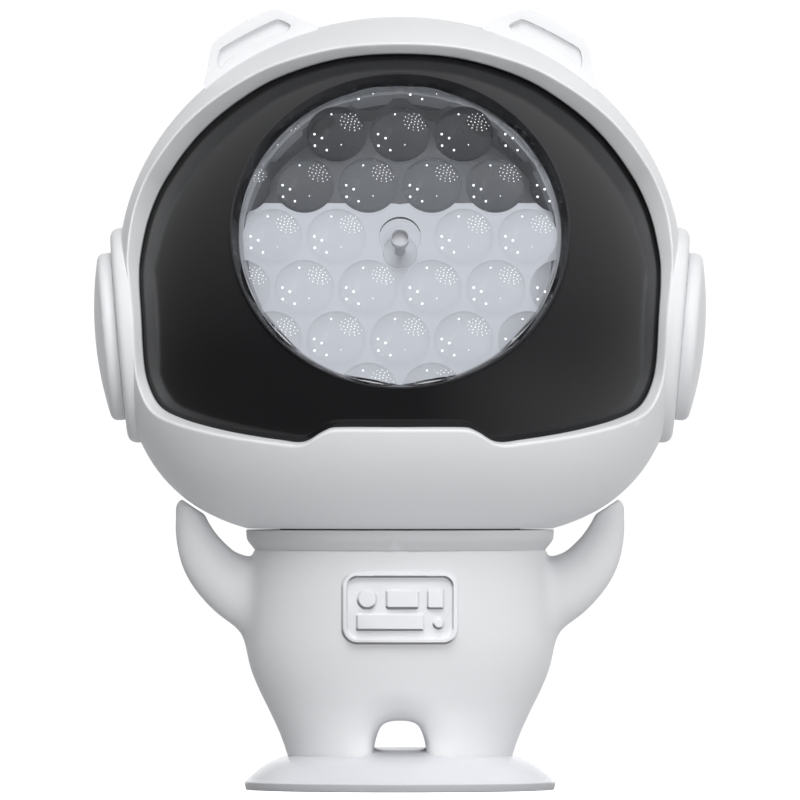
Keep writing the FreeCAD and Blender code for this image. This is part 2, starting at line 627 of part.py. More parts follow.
def torso(panel_pocket):
    """Front and rear halves of the torso shell with arms and legs, and their screws."""
    outer = torso_body()
    arm = arm_body()
    outer = joined([outer, arm, mirrored(arm)])
    outer = outer.cut(helmet_body(-ARM_HELMET_GAP))
    floor_level = TORSO_TOP * TORSO_LEVEL_SHARES[0] + LEG_FLOOR_HEIGHT
    hollow = torso_body(WALL)
    arm_hollow = arm_body(WALL)
    hollow = joined([hollow, arm_hollow, mirrored(arm_hollow)])
    gap_wall = LEG_GAP_FOOT_WIDTH / 2 + WALL
    depth = TORSO_HALF_DEPTH
    deep = HELMET_HALF_WIDTH
    keep_low = box((-deep, -depth, 0), (deep, depth, floor_level))
    deck = cylinder(TORSO_HALF_WIDTH - WALL, TORSO_TOP - DECK_HEIGHT, TORSO_TOP + OVERRUN)
    crotch = box((-gap_wall, -depth, 0), (gap_wall, depth, LEG_GAP_TOP + WALL))
    hollow = hollow.cut(keep_low).cut(deck).cut(crotch)
    screws, bosses, wells, pilots = fastened(TORSO_SCREW_PLACES, TORSO_SCREW_SEAT, 0, TORSO_BOSS_FRONT)
    body = outer.cut(hollow)
    within = torso_body(WALL / 2)
    bosses = [boss.common(within) for boss in bosses]
    for x, y in base_screw_places():
        bosses.append(cylinder(SCREW_BOSS_RADIUS, BASE_CAVITY_TOP, BASE_CAVITY_TOP + BASE_SCREW_LENGTH, x, y))
    for name, x in button_places():
        wall = torso_depth_at(x, BUTTON_LEVEL)
        guide = BUTTON_RADIUS + BUTTON_GUIDE_WALL
        bosses.append(rod(guide, BUTTON_GUIDE_FRONT, wall - WALL / 2, x, BUTTON_LEVEL))
    for x, z in board_screw_places():
        wall = torso_depth_at(x, z)
        bosses.append(rod(SMALL_SCREW_HEAD_RADIUS, BOARD_BACK, wall - WALL / 2, x, z))
    body = joined([body] + bosses)
    cuts = [leg_gap(), dome_solid(-OVERRUN), panel_pocket] + wells + pilots
    cuts.append(cylinder(DECK_HOLE_RADIUS, TORSO_TOP - DECK_HEIGHT - OVERRUN, HELMET_TOP))
    for x, y in base_screw_places():
        cuts.append(cylinder(SCREW_RADIUS, 0, BASE_CAVITY_TOP + BASE_SCREW_LENGTH, x, y))
    for turn in QUARTER_TURNS:
        hole = cylinder(SMALL_SCREW_RADIUS, TORSO_TOP - DECK_HEIGHT - OVERRUN / 4, HELMET_TOP, COLLAR_SCREW_PLACE)
        hole.rotate(Vector(0, 0, 0), UP, turn)
        cuts.append(hole)
    for name, x in button_places():
        cuts.append(rod(BUTTON_RADIUS + RUNNING_FIT, BOARD_BACK, TORSO_HALF_DEPTH + OVERRUN, x, BUTTON_LEVEL))
    for x, z in board_screw_places():
        cuts.append(rod(SMALL_SCREW_RADIUS, BOARD_BACK - BOARD_THICKNESS, BOARD_BACK + BOARD_THICKNESS * 2, x, z))
    half_width = INLET_WIDTH / 2 + SEAT_GAP
    half_height = INLET_HEIGHT / 2 + SEAT_GAP
    cuts.append(box((-half_width, BOARD_BACK, INLET_LEVEL - half_height),
                    (half_width, TORSO_HALF_DEPTH + OVERRUN, INLET_LEVEL + half_height)))
    for cutter in cuts:
        body = body.cut(cutter)
    front, rear = shell_halves(body, 0)
    return {
        "torso_front": largest(front),
        "torso_rear": largest(rear),
        "torso_screws": Part.makeCompound(screws),
    }


def largest(shape):
    """The biggest solid of a shape."""
    return max(shape.Solids, key=lambda solid: solid.Volume)


def rounded_rectangle(width, height, corner, x, z, front, back):
    plate = box((x - width / 2, front, z - height / 2), (x + width / 2, back, z + height / 2))
    uprights = [edge for edge in plate.Edges if edge.BoundBox.YLength > edge.BoundBox.DiagonalLength / 2]
    return plate.makeFillet(corner, uprights)


def chest_panel():
    """Raised frame that follows the curve of the chest, and the pocket that it sits in."""
    front = -TORSO_HALF_DEPTH - OVERRUN
    back = -TORSO_HALF_DEPTH / 2
    outside = torso_body(-PANEL_PROUD)
    face = rounded_rectangle(PANEL_WIDTH, PANEL_HEIGHT, PANEL_CORNER, 0, PANEL_MIDDLE, front, back)
    inner_width = PANEL_WIDTH - 2 * PANEL_RIM
    inner_height = PANEL_HEIGHT - 2 * PANEL_RIM
    window = rounded_rectangle(inner_width, inner_height, PANEL_CORNER - PANEL_RIM, 0, PANEL_MIDDLE, front, back)
    behind = torso_body(PANEL_DEPTH)
    floor = torso_body(PANEL_FLOOR_DEPTH)
    raised = torso_body(PANEL_FLOOR_DEPTH - PANEL_SHAPE_RISE)
    frame = face.cut(window).common(outside).cut(behind)
    tray = window.common(floor).cut(behind)
    shapes = []
    for x, z, size in PANEL_ROUND_SHARES:
        shapes.append(rod(size / 2 * PANEL_WIDTH, front, back, x * PANEL_WIDTH, PANEL_MIDDLE + z * PANEL_HEIGHT))
    for x, z, width, height in PANEL_BAR_SHARES:
        corner = PANEL_RIM / 2
        shapes.append(rounded_rectangle(width * PANEL_WIDTH, height * PANEL_HEIGHT, corner, x * PANEL_WIDTH,
                                        PANEL_MIDDLE + z * PANEL_HEIGHT, front, back))
    relief = [shape.common(raised).cut(behind) for shape in shapes]
    pocket = face.cut(behind)
    return {"chest_panel": joined([frame, tray] + relief)}, pocket


def board_screw_places():
    x, low = BOARD_SCREW_PLACE
    return [(side * x, z) for side in (-1, 1) for z in (low, BOARD_SCREW_TOP)]


def controls():
    """Control board with its screws, switches and power socket, and the three buttons."""
    board_front = BOARD_BACK - BOARD_THICKNESS
    board = box((-BOARD_HALF_WIDTH, board_front, BOARD_BOTTOM), (BOARD_HALF_WIDTH, BOARD_BACK, BOARD_TOP))
    screws, switches, buttons = [], [], {}
    for x, z in board_screw_places():
        bolt = small_screw(BOARD_THICKNESS * 3)
        bolt.rotate(Vector(0, 0, 0), ACROSS, 90)
        bolt.translate(Vector(x, board_front, z))
        screws.append(bolt)
        board = board.cut(rod(SMALL_SCREW_RADIUS, board_front - OVERRUN, BOARD_BACK + OVERRUN, x, z))
    switch_top = BOARD_BACK + SWITCH_HEIGHT
    stem_front = switch_top + BUTTON_TRAVEL + SEAT_GAP
    half = SWITCH_SIZE / 2
    for name, x in button_places():
        body = box((x - half, BOARD_BACK, BUTTON_LEVEL - half), (x + half, switch_top, BUTTON_LEVEL + half))
        switches.append(body)
        tip = torso_depth_at(x, BUTTON_LEVEL) + BUTTON_PROUD
        flange_back = BUTTON_GUIDE_FRONT - SEAT_GAP
        cap = rod(BUTTON_RADIUS, flange_back, tip, x, BUTTON_LEVEL)
        rounding = BUTTON_PROUD / 2
        cap = cap.makeFillet(rounding, [edge for edge in cap.Edges if edge.BoundBox.YMin > tip - rounding])
        flange = rod(BUTTON_RADIUS + BUTTON_FLANGE, flange_back - BUTTON_FLANGE_HEIGHT, flange_back, x, BUTTON_LEVEL)
        stem = rod(BUTTON_STEM_RADIUS, stem_front, flange_back, x, BUTTON_LEVEL)
        buttons[name] = joined([cap, flange, stem])
    low = (-INLET_WIDTH / 2, BOARD_BACK, INLET_LEVEL - INLET_HEIGHT / 2)
    high = (INLET_WIDTH / 2, BOARD_BACK + INLET_LENGTH, INLET_LEVEL + INLET_HEIGHT / 2)
    socket = box(low, high)
    floor = BOARD_BACK + INLET_LENGTH * INLET_FLOOR_SHARE
    inset = INLET_WIDTH * INLET_TONGUE_INSET_SHARE
    tongue_back = high[1] - INLET_LENGTH * INLET_TONGUE_INSET_SHARE
    mouth = box((low[0] + INLET_SHELL, floor, low[2] + INLET_SHELL),
                (high[0] - INLET_SHELL, high[1] + OVERRUN, high[2] - INLET_SHELL))
    tongue = box((low[0] + inset, floor, INLET_LEVEL - INLET_TONGUE / 2),
                 (high[0] - inset, tongue_back, INLET_LEVEL + INLET_TONGUE / 2))
    return {
        "control_board": board,
        "board_screws": Part.makeCompound(screws),
        "tact_switches": Part.makeCompound(switches),
        "power_socket": socket.cut(mouth).fuse(tongue).removeSplitter(),
        **buttons,
    }


def neck():
    """Hollow neck tube through the collar, its screws, and the retainer with the stop lug."""
    floor_top = HELMET_FLOOR + WALL
    bottom = TORSO_TOP - RETAINER_PLAY - RETAINER_HEIGHT
    tube = cylinder(NECK_RADIUS, bottom - NECK_TUBE_REACH, floor_top)
    flange = cylinder(NECK_FLANGE_RADIUS, floor_top, floor_top + NECK_FLANGE_HEIGHT)
    tube = tube.fuse(flange).cut(cylinder(NECK_BORE_RADIUS, 0, HELMET_TOP))
    screws = []
    for turn in QUARTER_TURNS:
        bolt = small_screw(NECK_FLANGE_HEIGHT + WALL * NECK_SCREW_GRIP_SHARE)
        bolt.translate(Vector(NECK_SCREW_PLACE, 0, floor_top + NECK_FLANGE_HEIGHT))
        bolt.rotate(Vector(0, 0, 0), UP, turn)
        screws.append(bolt)
        tube = tube.cut(neck_screw_hole(turn))
    lug = box((-STOP_LUG_WIDTH / 2, 0, bottom), (STOP_LUG_WIDTH / 2, STOP_LUG_REACH, bottom + RETAINER_HEIGHT))
    retainer = cylinder(RETAINER_RADIUS, bottom, bottom + RETAINER_HEIGHT).fuse(lug)
    return {
        "neck_tube": tube,
        "neck_screws": Part.makeCompound(screws),
        "neck_retainer": retainer.cut(cylinder(NECK_RADIUS, 0, HELMET_TOP)).removeSplitter(),
    }


def neck_screw_hole(turn):
    low = HELMET_FLOOR + WALL * (1 - NECK_SCREW_GRIP_SHARE)
    hole = cylinder(SMALL_SCREW_RADIUS, low, low + OVERRUN, NECK_SCREW_PLACE)
    hole.rotate(Vector(0, 0, 0), UP, turn)
    return hole


def helmet_tongue(within):
    """Inner rim of the front half that reaches a little way into the rear half, above the floor."""
    wide = HELMET_HALF_WIDTH
    core = helmet_body(WALL + HELMET_TONGUE)
    root = box((-wide, HELMET_SPLIT - HELMET_TONGUE_REACH, HELMET_TONGUE_LEVEL), (wide, HELMET_SPLIT, HELMET_TOP))
    tip = box((-wide, HELMET_SPLIT, HELMET_TONGUE_LEVEL), (wide, HELMET_SPLIT + HELMET_TONGUE_REACH, HELMET_TOP))
    return root.common(within).cut(core), tip.common(helmet_body(WALL + SEAT_GAP)).cut(core)


def helmet():
    """Front and rear halves of the helmet, the rim of the visor opening, and the screws."""
    outer = helmet_body()
    screws, bosses, wells, pilots = fastened(HELMET_SCREW_PLACES, HELMET_SCREW_SEAT, HELMET_SPLIT, HELMET_BOSS_FRONT)
    ball = visor_ball(-SEAT_GAP)
    shell = outer.cut(helmet_body(WALL))
    front, rear = shell_halves(shell, HELMET_SPLIT)
    opening = sight_cone()
    within = helmet_body(WALL / 2)
    rim = within.cut(ball).common(sight_cone(LIP_WIDTH)).cut(opening)
    front = front.cut(opening).fuse(rim)
    for tongue in helmet_tongue(within):
        front = front.fuse(tongue)
    for boss in bosses:
        near, far = shell_halves(boss.common(within), HELMET_SPLIT)
        front = front.fuse(near)
        rear = rear.fuse(far)
    cuts = pilots + [cylinder(NECK_RADIUS, 0, HELMET_FLOOR + WALL)]
    cuts += [neck_screw_hole(turn) for turn in QUARTER_TURNS]
    for cutter in cuts:
        front = front.cut(cutter)
    for cutter in cuts + wells:
        rear = rear.cut(cutter)
    return {
        "helmet_front": largest(front),
        "helmet_rear": largest(rear),
        "helmet_screws": Part.makeCompound(screws),
    }


def visor():
    """Curved shield that tucks behind the helmet's rim, with the round hole for the bezel."""
    shield = visor_ball().cut(visor_ball(VISOR_WALL))
    shield = shield.common(sight_cone(VISOR_TUCK)).common(helmet_body(WALL + SEAT_GAP))
    hole = in_lens(cylinder(BEZEL_RADIUS + SEAT_GAP, 0, BEZEL_FRONT + OVERRUN))
    return {"visor": largest(shield.cut(hole))}


def bubble_places():
    """Middles of the bubbles on a hexagonal grid, without the one at the hub."""
    row_pitch = BUBBLE_PITCH * math.sqrt(0.75)
    rows = int(DISC_RADIUS / row_pitch) + 1
    places = []
    for row in range(-rows, rows + 1):
        for column in range(-rows - 1, rows + 2):
            x = (column + (row % 2) / 2) * BUBBLE_PITCH
            y = row * row_pitch
            away = math.hypot(x, y)
            if BUBBLE_PITCH / 2 < away < BUBBLE_LIMIT + BUBBLE_RADIUS * BUBBLE_EDGE_SHARE:
                places.append((x, y, away))
    return places


def lens_rotor():
    """Clear disc of bubble lenses with its spindle and drive gear."""
    disc = cylinder(DISC_RADIUS, DISC_FRONT - DISC_THICKNESS, DISC_FRONT)
    ball_radius = (BUBBLE_RADIUS ** 2 + BUBBLE_HEIGHT ** 2) / (2 * BUBBLE_HEIGHT)
    latitude = math.degrees(math.asin((ball_radius - BUBBLE_HEIGHT) / ball_radius))
    limit = cylinder(BUBBLE_LIMIT, DISC_FRONT, DISC_FRONT + BUBBLE_HEIGHT * 2)
    caps = []
    for x, y, away in bubble_places():
        middle = Vector(x, y, DISC_FRONT - ball_radius + BUBBLE_HEIGHT)
        cap = Part.makeSphere(ball_radius, middle, UP, latitude, 90)
        caps.append(cap if away + BUBBLE_RADIUS < BUBBLE_LIMIT else cap.common(limit))
    disc = joined([disc] + caps)
    disc = disc.cut(cylinder(HUB_RADIUS, DISC_FRONT - HUB_DEPTH, DISC_FRONT + OVERRUN))
    disc = disc.cut(cylinder(SPINDLE_RADIUS, 0, DISC_FRONT))
    disc_back = DISC_FRONT - DISC_THICKNESS
    spindle = cylinder(SPINDLE_RADIUS, SPINDLE_BACK, DISC_FRONT)
    shoulder = cylinder(SPINDLE_SHOULDER_RADIUS, disc_back - WALL / 2, disc_back)
    gear = toothed_wheel(GEAR_TEETH, GEAR_RADIUS, GEAR_BACK, GEAR_BACK + GEAR_HEIGHT)
    hub = cylinder(GEAR_HUB_RADIUS, GEAR_BACK, BUSH_BACK - HEAD_GAP)
    gear = gear.fuse(hub).cut(cylinder(SPINDLE_RADIUS, 0, DISC_FRONT))
    return {
        "lens_disc": in_lens(disc),
        "lens_spindle": in_lens(spindle.fuse(shoulder).removeSplitter()),
        "drive_gear": in_lens(gear.removeSplitter()),
    }


def toothed_wheel(teeth, radius, bottom, top):
    """Gear wheel with straight-sided teeth, one of them on the +X line."""
    pitch = 2 * math.pi / teeth
    corners = []
    for tooth in range(teeth):
        for share, reach in ((-TOOTH_ROOT_SHARE, -TOOTH_DEDENDUM), (-TOOTH_TIP_SHARE, TOOTH_ADDENDUM),
                             (TOOTH_TIP_SHARE, TOOTH_ADDENDUM), (TOOTH_ROOT_SHARE, -TOOTH_DEDENDUM)):
            angle = (tooth + share) * pitch
            corners.append(Vector((radius + reach) * math.cos(angle), (radius + reach) * math.sin(angle), bottom))
    face = Part.Face(Part.makePolygon(corners + corners[:1]))
    return face.extrude(UP * (top - bottom))


def drive():
    """Motor on its bracket behind the lamp housing, with its pinion in mesh with the drive gear."""
    motor_front = BRACKET_FRONT - BRACKET_THICKNESS
    centre_y = GEAR_CENTRES
    shaft_front = GEAR_BACK + GEAR_HEIGHT
    pinion = toothed_wheel(PINION_TEETH, PINION_RADIUS, GEAR_BACK, shaft_front)
    pinion = pinion.cut(cylinder(MOTOR_SHAFT_RADIUS, 0, DISC_FRONT))
    pinion.translate(Vector(0, centre_y, 0))
    seat = MOTOR_BOSS_RADIUS
    shaft = cylinder(MOTOR_SHAFT_RADIUS, motor_front - seat, shaft_front, 0, centre_y)
    can = cylinder(MOTOR_RADIUS, motor_front - MOTOR_LENGTH, motor_front, 0, centre_y)
    can = can.makeFillet(BRACKET_THICKNESS / 2, [can.Edges[2]])
    boss = cylinder(MOTOR_BOSS_RADIUS, motor_front, BRACKET_FRONT, 0, centre_y)
    can = can.fuse(boss).cut(cylinder(MOTOR_SHAFT_RADIUS + RUNNING_FIT, motor_front - seat, DISC_FRONT, 0, centre_y))
    plate = bracket_plate(motor_front, centre_y)
    screws = []
    for side in (-1, 1):
        x = side * MOTOR_RADIUS * MOTOR_SCREW_SHARE
        bolt = small_screw(BRACKET_THICKNESS * 2)
        bolt.translate(Vector(x, centre_y, BRACKET_FRONT))
        hole = cylinder(SMALL_SCREW_RADIUS, BRACKET_FRONT - BRACKET_THICKNESS * 2, BRACKET_FRONT, x, centre_y)
        plate = plate.cut(hole)
        can = can.cut(hole)
        screws.append(bolt)
    return {
        "pinion": in_lens(pinion),
        "motor_shaft": in_lens(shaft),
        "motor": in_lens(can),
        "motor_bracket": in_lens(plate),
        "motor_screws": in_lens(Part.makeCompound(screws)),
    }


def bracket_plate(back, centre_y):
    """Plate behind the drive gear on four posts that stand on the lamp housing."""
    low = min(place[1] for place in BRACKET_POST_PLACES) - BRACKET_POST_RADIUS
    plate = box((-BRACKET_HALF_WIDTH, low, back), (BRACKET_HALF_WIDTH, centre_y + MOTOR_RADIUS, BRACKET_FRONT))
    uprights = [edge for edge in plate.Edges if edge.BoundBox.ZLength > edge.BoundBox.DiagonalLength / 2]
    plate = plate.makeFillet(BRACKET_POST_RADIUS, uprights)
    posts = [cylinder(BRACKET_POST_RADIUS, back, CUP_BACK, x, y) for x, y in BRACKET_POST_PLACES]
    plate = joined([plate] + posts)
    plate = plate.cut(cylinder(SPINDLE_RADIUS + RUNNING_FIT, 0, BRACKET_FRONT + OVERRUN))
    return plate.cut(cylinder(MOTOR_BOSS_RADIUS, 0, BRACKET_FRONT + OVERRUN, 0, centre_y))


def lamp():
    """Bezel, retainer ring, lamp housing, diffuser, light board, heat sink and spindle bush."""
    disc_back = DISC_FRONT - DISC_THICKNESS
    skirt_inner = BEZEL_RADIUS - BEZEL_WALL
    lip_back = BEZEL_LIP - BEZEL_WALL / 2
    bezel = turned([(skirt_inner, BEZEL_BACK), (BEZEL_RADIUS, BEZEL_BACK), (BEZEL_RADIUS, BEZEL_FRONT),
                    (BEZEL_RADIUS - BEZEL_WALL / 2, BEZEL_FRONT), (BEZEL_OPENING, BEZEL_LIP),
                    (BEZEL_OPENING, lip_back), (skirt_inner, lip_back)])
    cup_inner = CUP_RADIUS - CUP_WALL
    floor_top = CUP_BACK + CUP_FLOOR
    retainer = ring(CUP_RADIUS, cup_inner, BEZEL_BACK, disc_back - HEAD_GAP)
    cup = cylinder(CUP_RADIUS, CUP_BACK, BEZEL_BACK).cut(cylinder(cup_inner, floor_top, BEZEL_BACK + OVERRUN))
    shoulder = ring(CUP_FLANGE_RADIUS, cup_inner, CUP_SHOULDER, BEZEL_BACK)
    flange = ring(CUP_FLANGE_RADIUS, BEZEL_RADIUS + SEAT_GAP, CUP_SHOULDER, BEZEL_FRONT)
    flange = in_lens(flange).common(visor_ball(VISOR_WALL + SEAT_GAP))
    sink_y = -HEAT_SINK_PLACE
    cup = cup.cut(cylinder(BUSH_RADIUS, 0, BEZEL_BACK)).cut(cylinder(HEAT_SINK_POST_RADIUS, 0, floor_top, 0, sink_y))
    housing = joined([in_lens(cup.fuse(shoulder)), flange])
    board = ring(cup_inner - SEAT_GAP, LED_BOARD_HOLE, floor_top, floor_top + LED_BOARD_THICKNESS)
    board_top = floor_top + LED_BOARD_THICKNESS
    half = LED_SIZE / 2
    emitters = []
    for x_share, y_share in LED_PLACE_SHARES:
        x, y = x_share * cup_inner, y_share * cup_inner
        body = box((x - half, y - half, board_top), (x + half, y + half, board_top + LED_HEIGHT))
        dome = Part.makeSphere(LED_SIZE * LED_DOME_SHARE, Vector(x, y, board_top + LED_HEIGHT), UP, 0, 90)
        emitters.append(body.fuse(dome).removeSplitter())
    plate_back = DIFFUSER_FRONT - DIFFUSER_THICKNESS
    plate = cylinder(cup_inner - SEAT_GAP, plate_back, DIFFUSER_FRONT)
    plate = plate.cut(box((-CUP_RADIUS, DIFFUSER_LEVEL, 0), (CUP_RADIUS, CUP_RADIUS, DISC_FRONT)))
    plate = plate.cut(cylinder(SPINDLE_RADIUS * 2, 0, DISC_FRONT))
    across, along = (share * cup_inner for share in DIFFUSER_POST_SHARES)
    posts = [cylinder(BUSH_RADIUS / 2, board_top, plate_back, side * across, along) for side in (-1, 1)]
    bush = joined([cylinder(BUSH_RADIUS, BUSH_BACK, floor_top),
                   cylinder(BUSH_FLANGE_RADIUS, floor_top, floor_top + BUSH_FLANGE_HEIGHT)])
    bush = bush.cut(cylinder(SPINDLE_RADIUS + RUNNING_FIT, 0, DISC_FRONT))
    return {
        "lens_bezel": in_lens(bezel),
        "retainer_ring": in_lens(retainer),
        "lamp_housing": largest(housing),
        "led_board": in_lens(board),
        "led_emitters": in_lens(Part.makeCompound(emitters)),
        "light_diffuser": in_lens(joined([plate] + posts)),
        "heat_sink": in_lens(heat_sink(floor_top, sink_y)),
        "spindle_bush": in_lens(bush),
    }


def heat_sink(floor_top, middle_y):
    """Finned block behind the lamp housing with a round post that meets the light board."""
    half = HEAT_SINK_WIDTH / 2
    low = middle_y - HEAT_SINK_HEIGHT / 2
    high = middle_y + HEAT_SINK_HEIGHT / 2
    base_back = CUP_BACK - HEAT_SINK_BASE
    pieces = [box((-half, low, base_back), (half, high, CUP_BACK)),
              cylinder(HEAT_SINK_POST_RADIUS, CUP_BACK, floor_top, 0, middle_y)]
    thickness = HEAT_SINK_WIDTH / HEAT_SINK_FINS * HEAT_SINK_FIN_SHARE
    for fin in range(HEAT_SINK_FINS):
        left = -half + fin * (HEAT_SINK_WIDTH - thickness) / (HEAT_SINK_FINS - 1)
        pieces.append(box((left, low, base_back - HEAT_SINK_FIN_LENGTH), (left + thickness, high, base_back)))
    return joined(pieces)


def ears():
    """Large side ring seated on the helmet, and the domed cap that plugs into it, on each side."""
    pad = cylinder(EAR_PAD_RADIUS, -EAR_PAD_DEPTH, 0)
    pad = pad.makeFillet(EAR_ROUNDING, [edge for edge in pad.Edges if edge.BoundBox.ZMin > -EAR_ROUNDING])
    pad = pad.cut(cylinder(EAR_NECK_RADIUS + RUNNING_FIT, -OVERRUN, OVERRUN))
    rim_top = EAR_GROOVE + EAR_CAP_RIM
    dome_radius = (EAR_CAP_RADIUS ** 2 + EAR_DOME_RISE ** 2) / (2 * EAR_DOME_RISE)
    dome = Part.makeSphere(dome_radius, Vector(0, 0, rim_top + EAR_DOME_RISE - dome_radius))
    cap = cylinder(EAR_CAP_RADIUS, EAR_GROOVE, rim_top + EAR_DOME_RISE * 2).common(dome)
    rim_edges = [edge for edge in cap.Edges if edge.BoundBox.ZMin > EAR_GROOVE + SEAT_GAP and edge.BoundBox.ZLength < SEAT_GAP]
    cap = cap.makeFillet(EAR_CAP_ROUNDING, rim_edges)
    cap = cap.fuse(cylinder(EAR_NECK_RADIUS, -EAR_PAD_DEPTH, EAR_GROOVE)).removeSplitter()
    head = helmet_body()
    pad = largest(set_in(pad, ear_place(1)).cut(head))
    cap = largest(set_in(cap, ear_place(1)).cut(head))
    return {"right_ear_pad": pad, "right_ear_cap": cap, "left_ear_pad": mirrored(pad), "left_ear_cap": mirrored(cap)}


def fins():
    """Two upright fins on the crown, each with a shallow panel let into both faces."""
    width = FIN_OUTER - FIN_INNER
    bottom = FIN_TOP - FIN_HEIGHT
    outline = [(FIN_INNER + x * width, bottom + z * FIN_HEIGHT) for x, z in FIN_OUTLINE_SHARES]
    outline += [(FIN_INNER, bottom), (FIN_INNER + width * FIN_ROOT_SHARES[0], bottom + FIN_HEIGHT * FIN_ROOT_SHARES[1])]
    window = [(FIN_INNER + x * width, bottom + z * FIN_HEIGHT) for x, z in FIN_RECESS_SHARES]
    half = FIN_THICKNESS / 2
    fin = prism(outline, -half, half)
    panel = prism(window, -half - OVERRUN, -half + FIN_RECESS, True)
    back_panel = prism(window, half - FIN_RECESS, half + OVERRUN, True)
    fin = largest(fin.cut(panel).cut(back_panel).cut(helmet_body()))
    return {"right_fin": fin, "left_fin": mirrored(fin)}


def bent_lead(points):
    """Round lead along straight runs that are joined by arcs."""
    edges = []
    start = points[0]
    for before, corner, after in zip(points, points[1:], points[2:]):
        into = (corner - before).normalize()
        out = (after - corner).normalize()
        turn = into.getAngle(out)
        trim = LEAD_BEND * math.tan(turn / 2)
        arc_start = corner - into * trim
        arc_end = corner + out * trim
        to_middle = (out - into).normalize()
        arc_top = corner + to_middle * (LEAD_BEND / math.cos(turn / 2) - LEAD_BEND)
        edges.append(Part.LineSegment(start, arc_start).toShape())
        edges.append(Part.Arc(arc_start, arc_top, arc_end).toShape())
        start = arc_end
    edges.append(Part.LineSegment(start, points[-1]).toShape())
    path = Part.Wire(edges)
    section = Part.Wire(Part.Circle(points[0], points[1] - points[0], LEAD_RADIUS).toShape())
    return path.makePipeShell([section], True, False)


def leads():
    """Leads that meet end to end on the swivel axis: one from the board, one to the light."""
    board_front = BOARD_BACK - BOARD_THICKNESS
    level = LEAD_JOIN - COUPLER_HEIGHT - LEAD_BEND * LEAD_LOOP_SHARE
    stand = bent_lead([Vector(0, board_front, level), Vector(0, 0, level), Vector(0, 0, LEAD_JOIN - COUPLER_HEIGHT)])
    coupler = cylinder(COUPLER_RADIUS, LEAD_JOIN - COUPLER_HEIGHT, LEAD_JOIN)
    x, y = LEAD_PLACE
    end = LENS_PLACE.multVec(Vector(x, y, CUP_BACK))
    before = LENS_PLACE.multVec(Vector(x, y, CUP_BACK - LEAD_BEND * 2))
    head = bent_lead([Vector(0, 0, LEAD_JOIN + HEAD_GAP), Vector(0, 0, before.z), before, end])
    return {"stand_lead": joined([stand, coupler]), "head_lead": head}


def build():
    panel, pocket = chest_panel()
    parts = {}
    for group in (base(), collar(), torso(pocket), panel, controls(), neck(), helmet(), visor(), lens_rotor(),
                  drive(), lamp(), ears(), fins(), leads()):
        parts.update(group)
    return parts


os.makedirs("parts", exist_ok=True)
for node, shape in build().items():
    shape.exportStep("parts/" + node + ".step")
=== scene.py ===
import math

import bmesh
import bpy
import numpy as np
from mathutils import Matrix, Vector


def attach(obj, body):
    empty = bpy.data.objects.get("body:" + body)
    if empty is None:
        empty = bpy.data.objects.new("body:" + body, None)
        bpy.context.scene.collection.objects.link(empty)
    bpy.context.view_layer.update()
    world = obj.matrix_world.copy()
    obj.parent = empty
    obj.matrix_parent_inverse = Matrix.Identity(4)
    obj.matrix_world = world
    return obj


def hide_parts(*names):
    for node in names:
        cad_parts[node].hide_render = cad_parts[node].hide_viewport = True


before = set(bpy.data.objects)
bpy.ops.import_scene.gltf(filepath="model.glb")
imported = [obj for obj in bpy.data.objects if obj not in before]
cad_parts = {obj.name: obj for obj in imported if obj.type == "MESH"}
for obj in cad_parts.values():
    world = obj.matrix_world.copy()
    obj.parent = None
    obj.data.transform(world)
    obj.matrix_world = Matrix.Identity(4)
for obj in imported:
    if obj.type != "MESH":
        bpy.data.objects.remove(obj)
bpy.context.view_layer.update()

# Lengths below are millimetres, as in the model's own drawings. Meshes are made in metres.
MM = 0.001
# Radius that stands for the axis in a turned outline
AXIS = 0.001

# Helmet form: half width and half depth by level, a flat seat on the collar
HELMET_HALF_WIDTH = 70.4
HELMET_HALF_DEPTH = 66.0
HELMET_FLOOR = 65.4
HELMET_HEIGHT = 127.9
HELMET_SEAT_RADIUS = 38.2
HELMET_WIDEST = 0.505 * HELMET_HEIGHT
HELMET_DEEPEST = 0.388 * HELMET_HEIGHT
HELMET_WALL = 2.6
HELMET_SPLIT = 9.0
SEAM_ROUNDING = 0.25
JAW_POWER = 3.2
CHIN_POWER = 2.5

# Visor ball, its outline seen from the front, and the point that its opening flares from
BALL_MIDDLE = np.array((0.0, 10.0, 117.3))
BALL_RADIUS = 74.0
BALL_BREADTH = 69.2
VISOR_WALL = 2.2
VISOR_TUCK = 3.0
SIGHT_POINT = np.array((0.0, 60.0, 119.0))
LIP_POINT = np.array((0.0, 100.0, 119.0))
LIP_WALL_SHARE = 0.46
OUTLINE_BOTTOM = 86.75
OUTLINE_HEIGHT = 97.0
OUTLINE_HALF_WIDTH = 65.1
OUTLINE_SHARES = ((0.0, 1.0), (0.132, 0.9965), (0.238, 0.987), (0.359, 0.966), (0.478, 0.936), (0.551, 0.91),
                  (0.664, 0.858), (0.751, 0.807), (0.82, 0.755), (0.874, 0.704), (0.92, 0.652),
                  (0.966, 0.575), (0.997, 0.472), (1.0, 0.42), (0.991, 0.317), (0.982, 0.214),
                  (0.969, 0.162), (0.937, 0.111), (0.902, 0.085), (0.818, 0.0593), (0.71, 0.0387),
                  (0.6, 0.0232), (0.45, 0.0077), (0.384, 0.0026), (0.349, 0.0077), (0.303, 0.0268),
                  (0.261, 0.0395), (0.235, 0.041), (0.0, 0.041))
BORDER_WIDTH = 2.2
BORDER_DROP = 0.06

# Lens window, along its own axis that leans back from the level
LENS_TILT = 21.4
BEZEL_RADIUS = 42.2
DISC_RADIUS = 40.8
DISC_FRONT = 57.0
DISC_BACK = 55.4
BUBBLE_PITCH = 15.8
BUBBLE_HEIGHT = 2.4
BUBBLE_RADIUS = 7.4
BUBBLE_LIMIT = 39.6
HUB_RADIUS = 5.2
HUB_SINK = 0.8
SPINDLE_RADIUS = 2.2

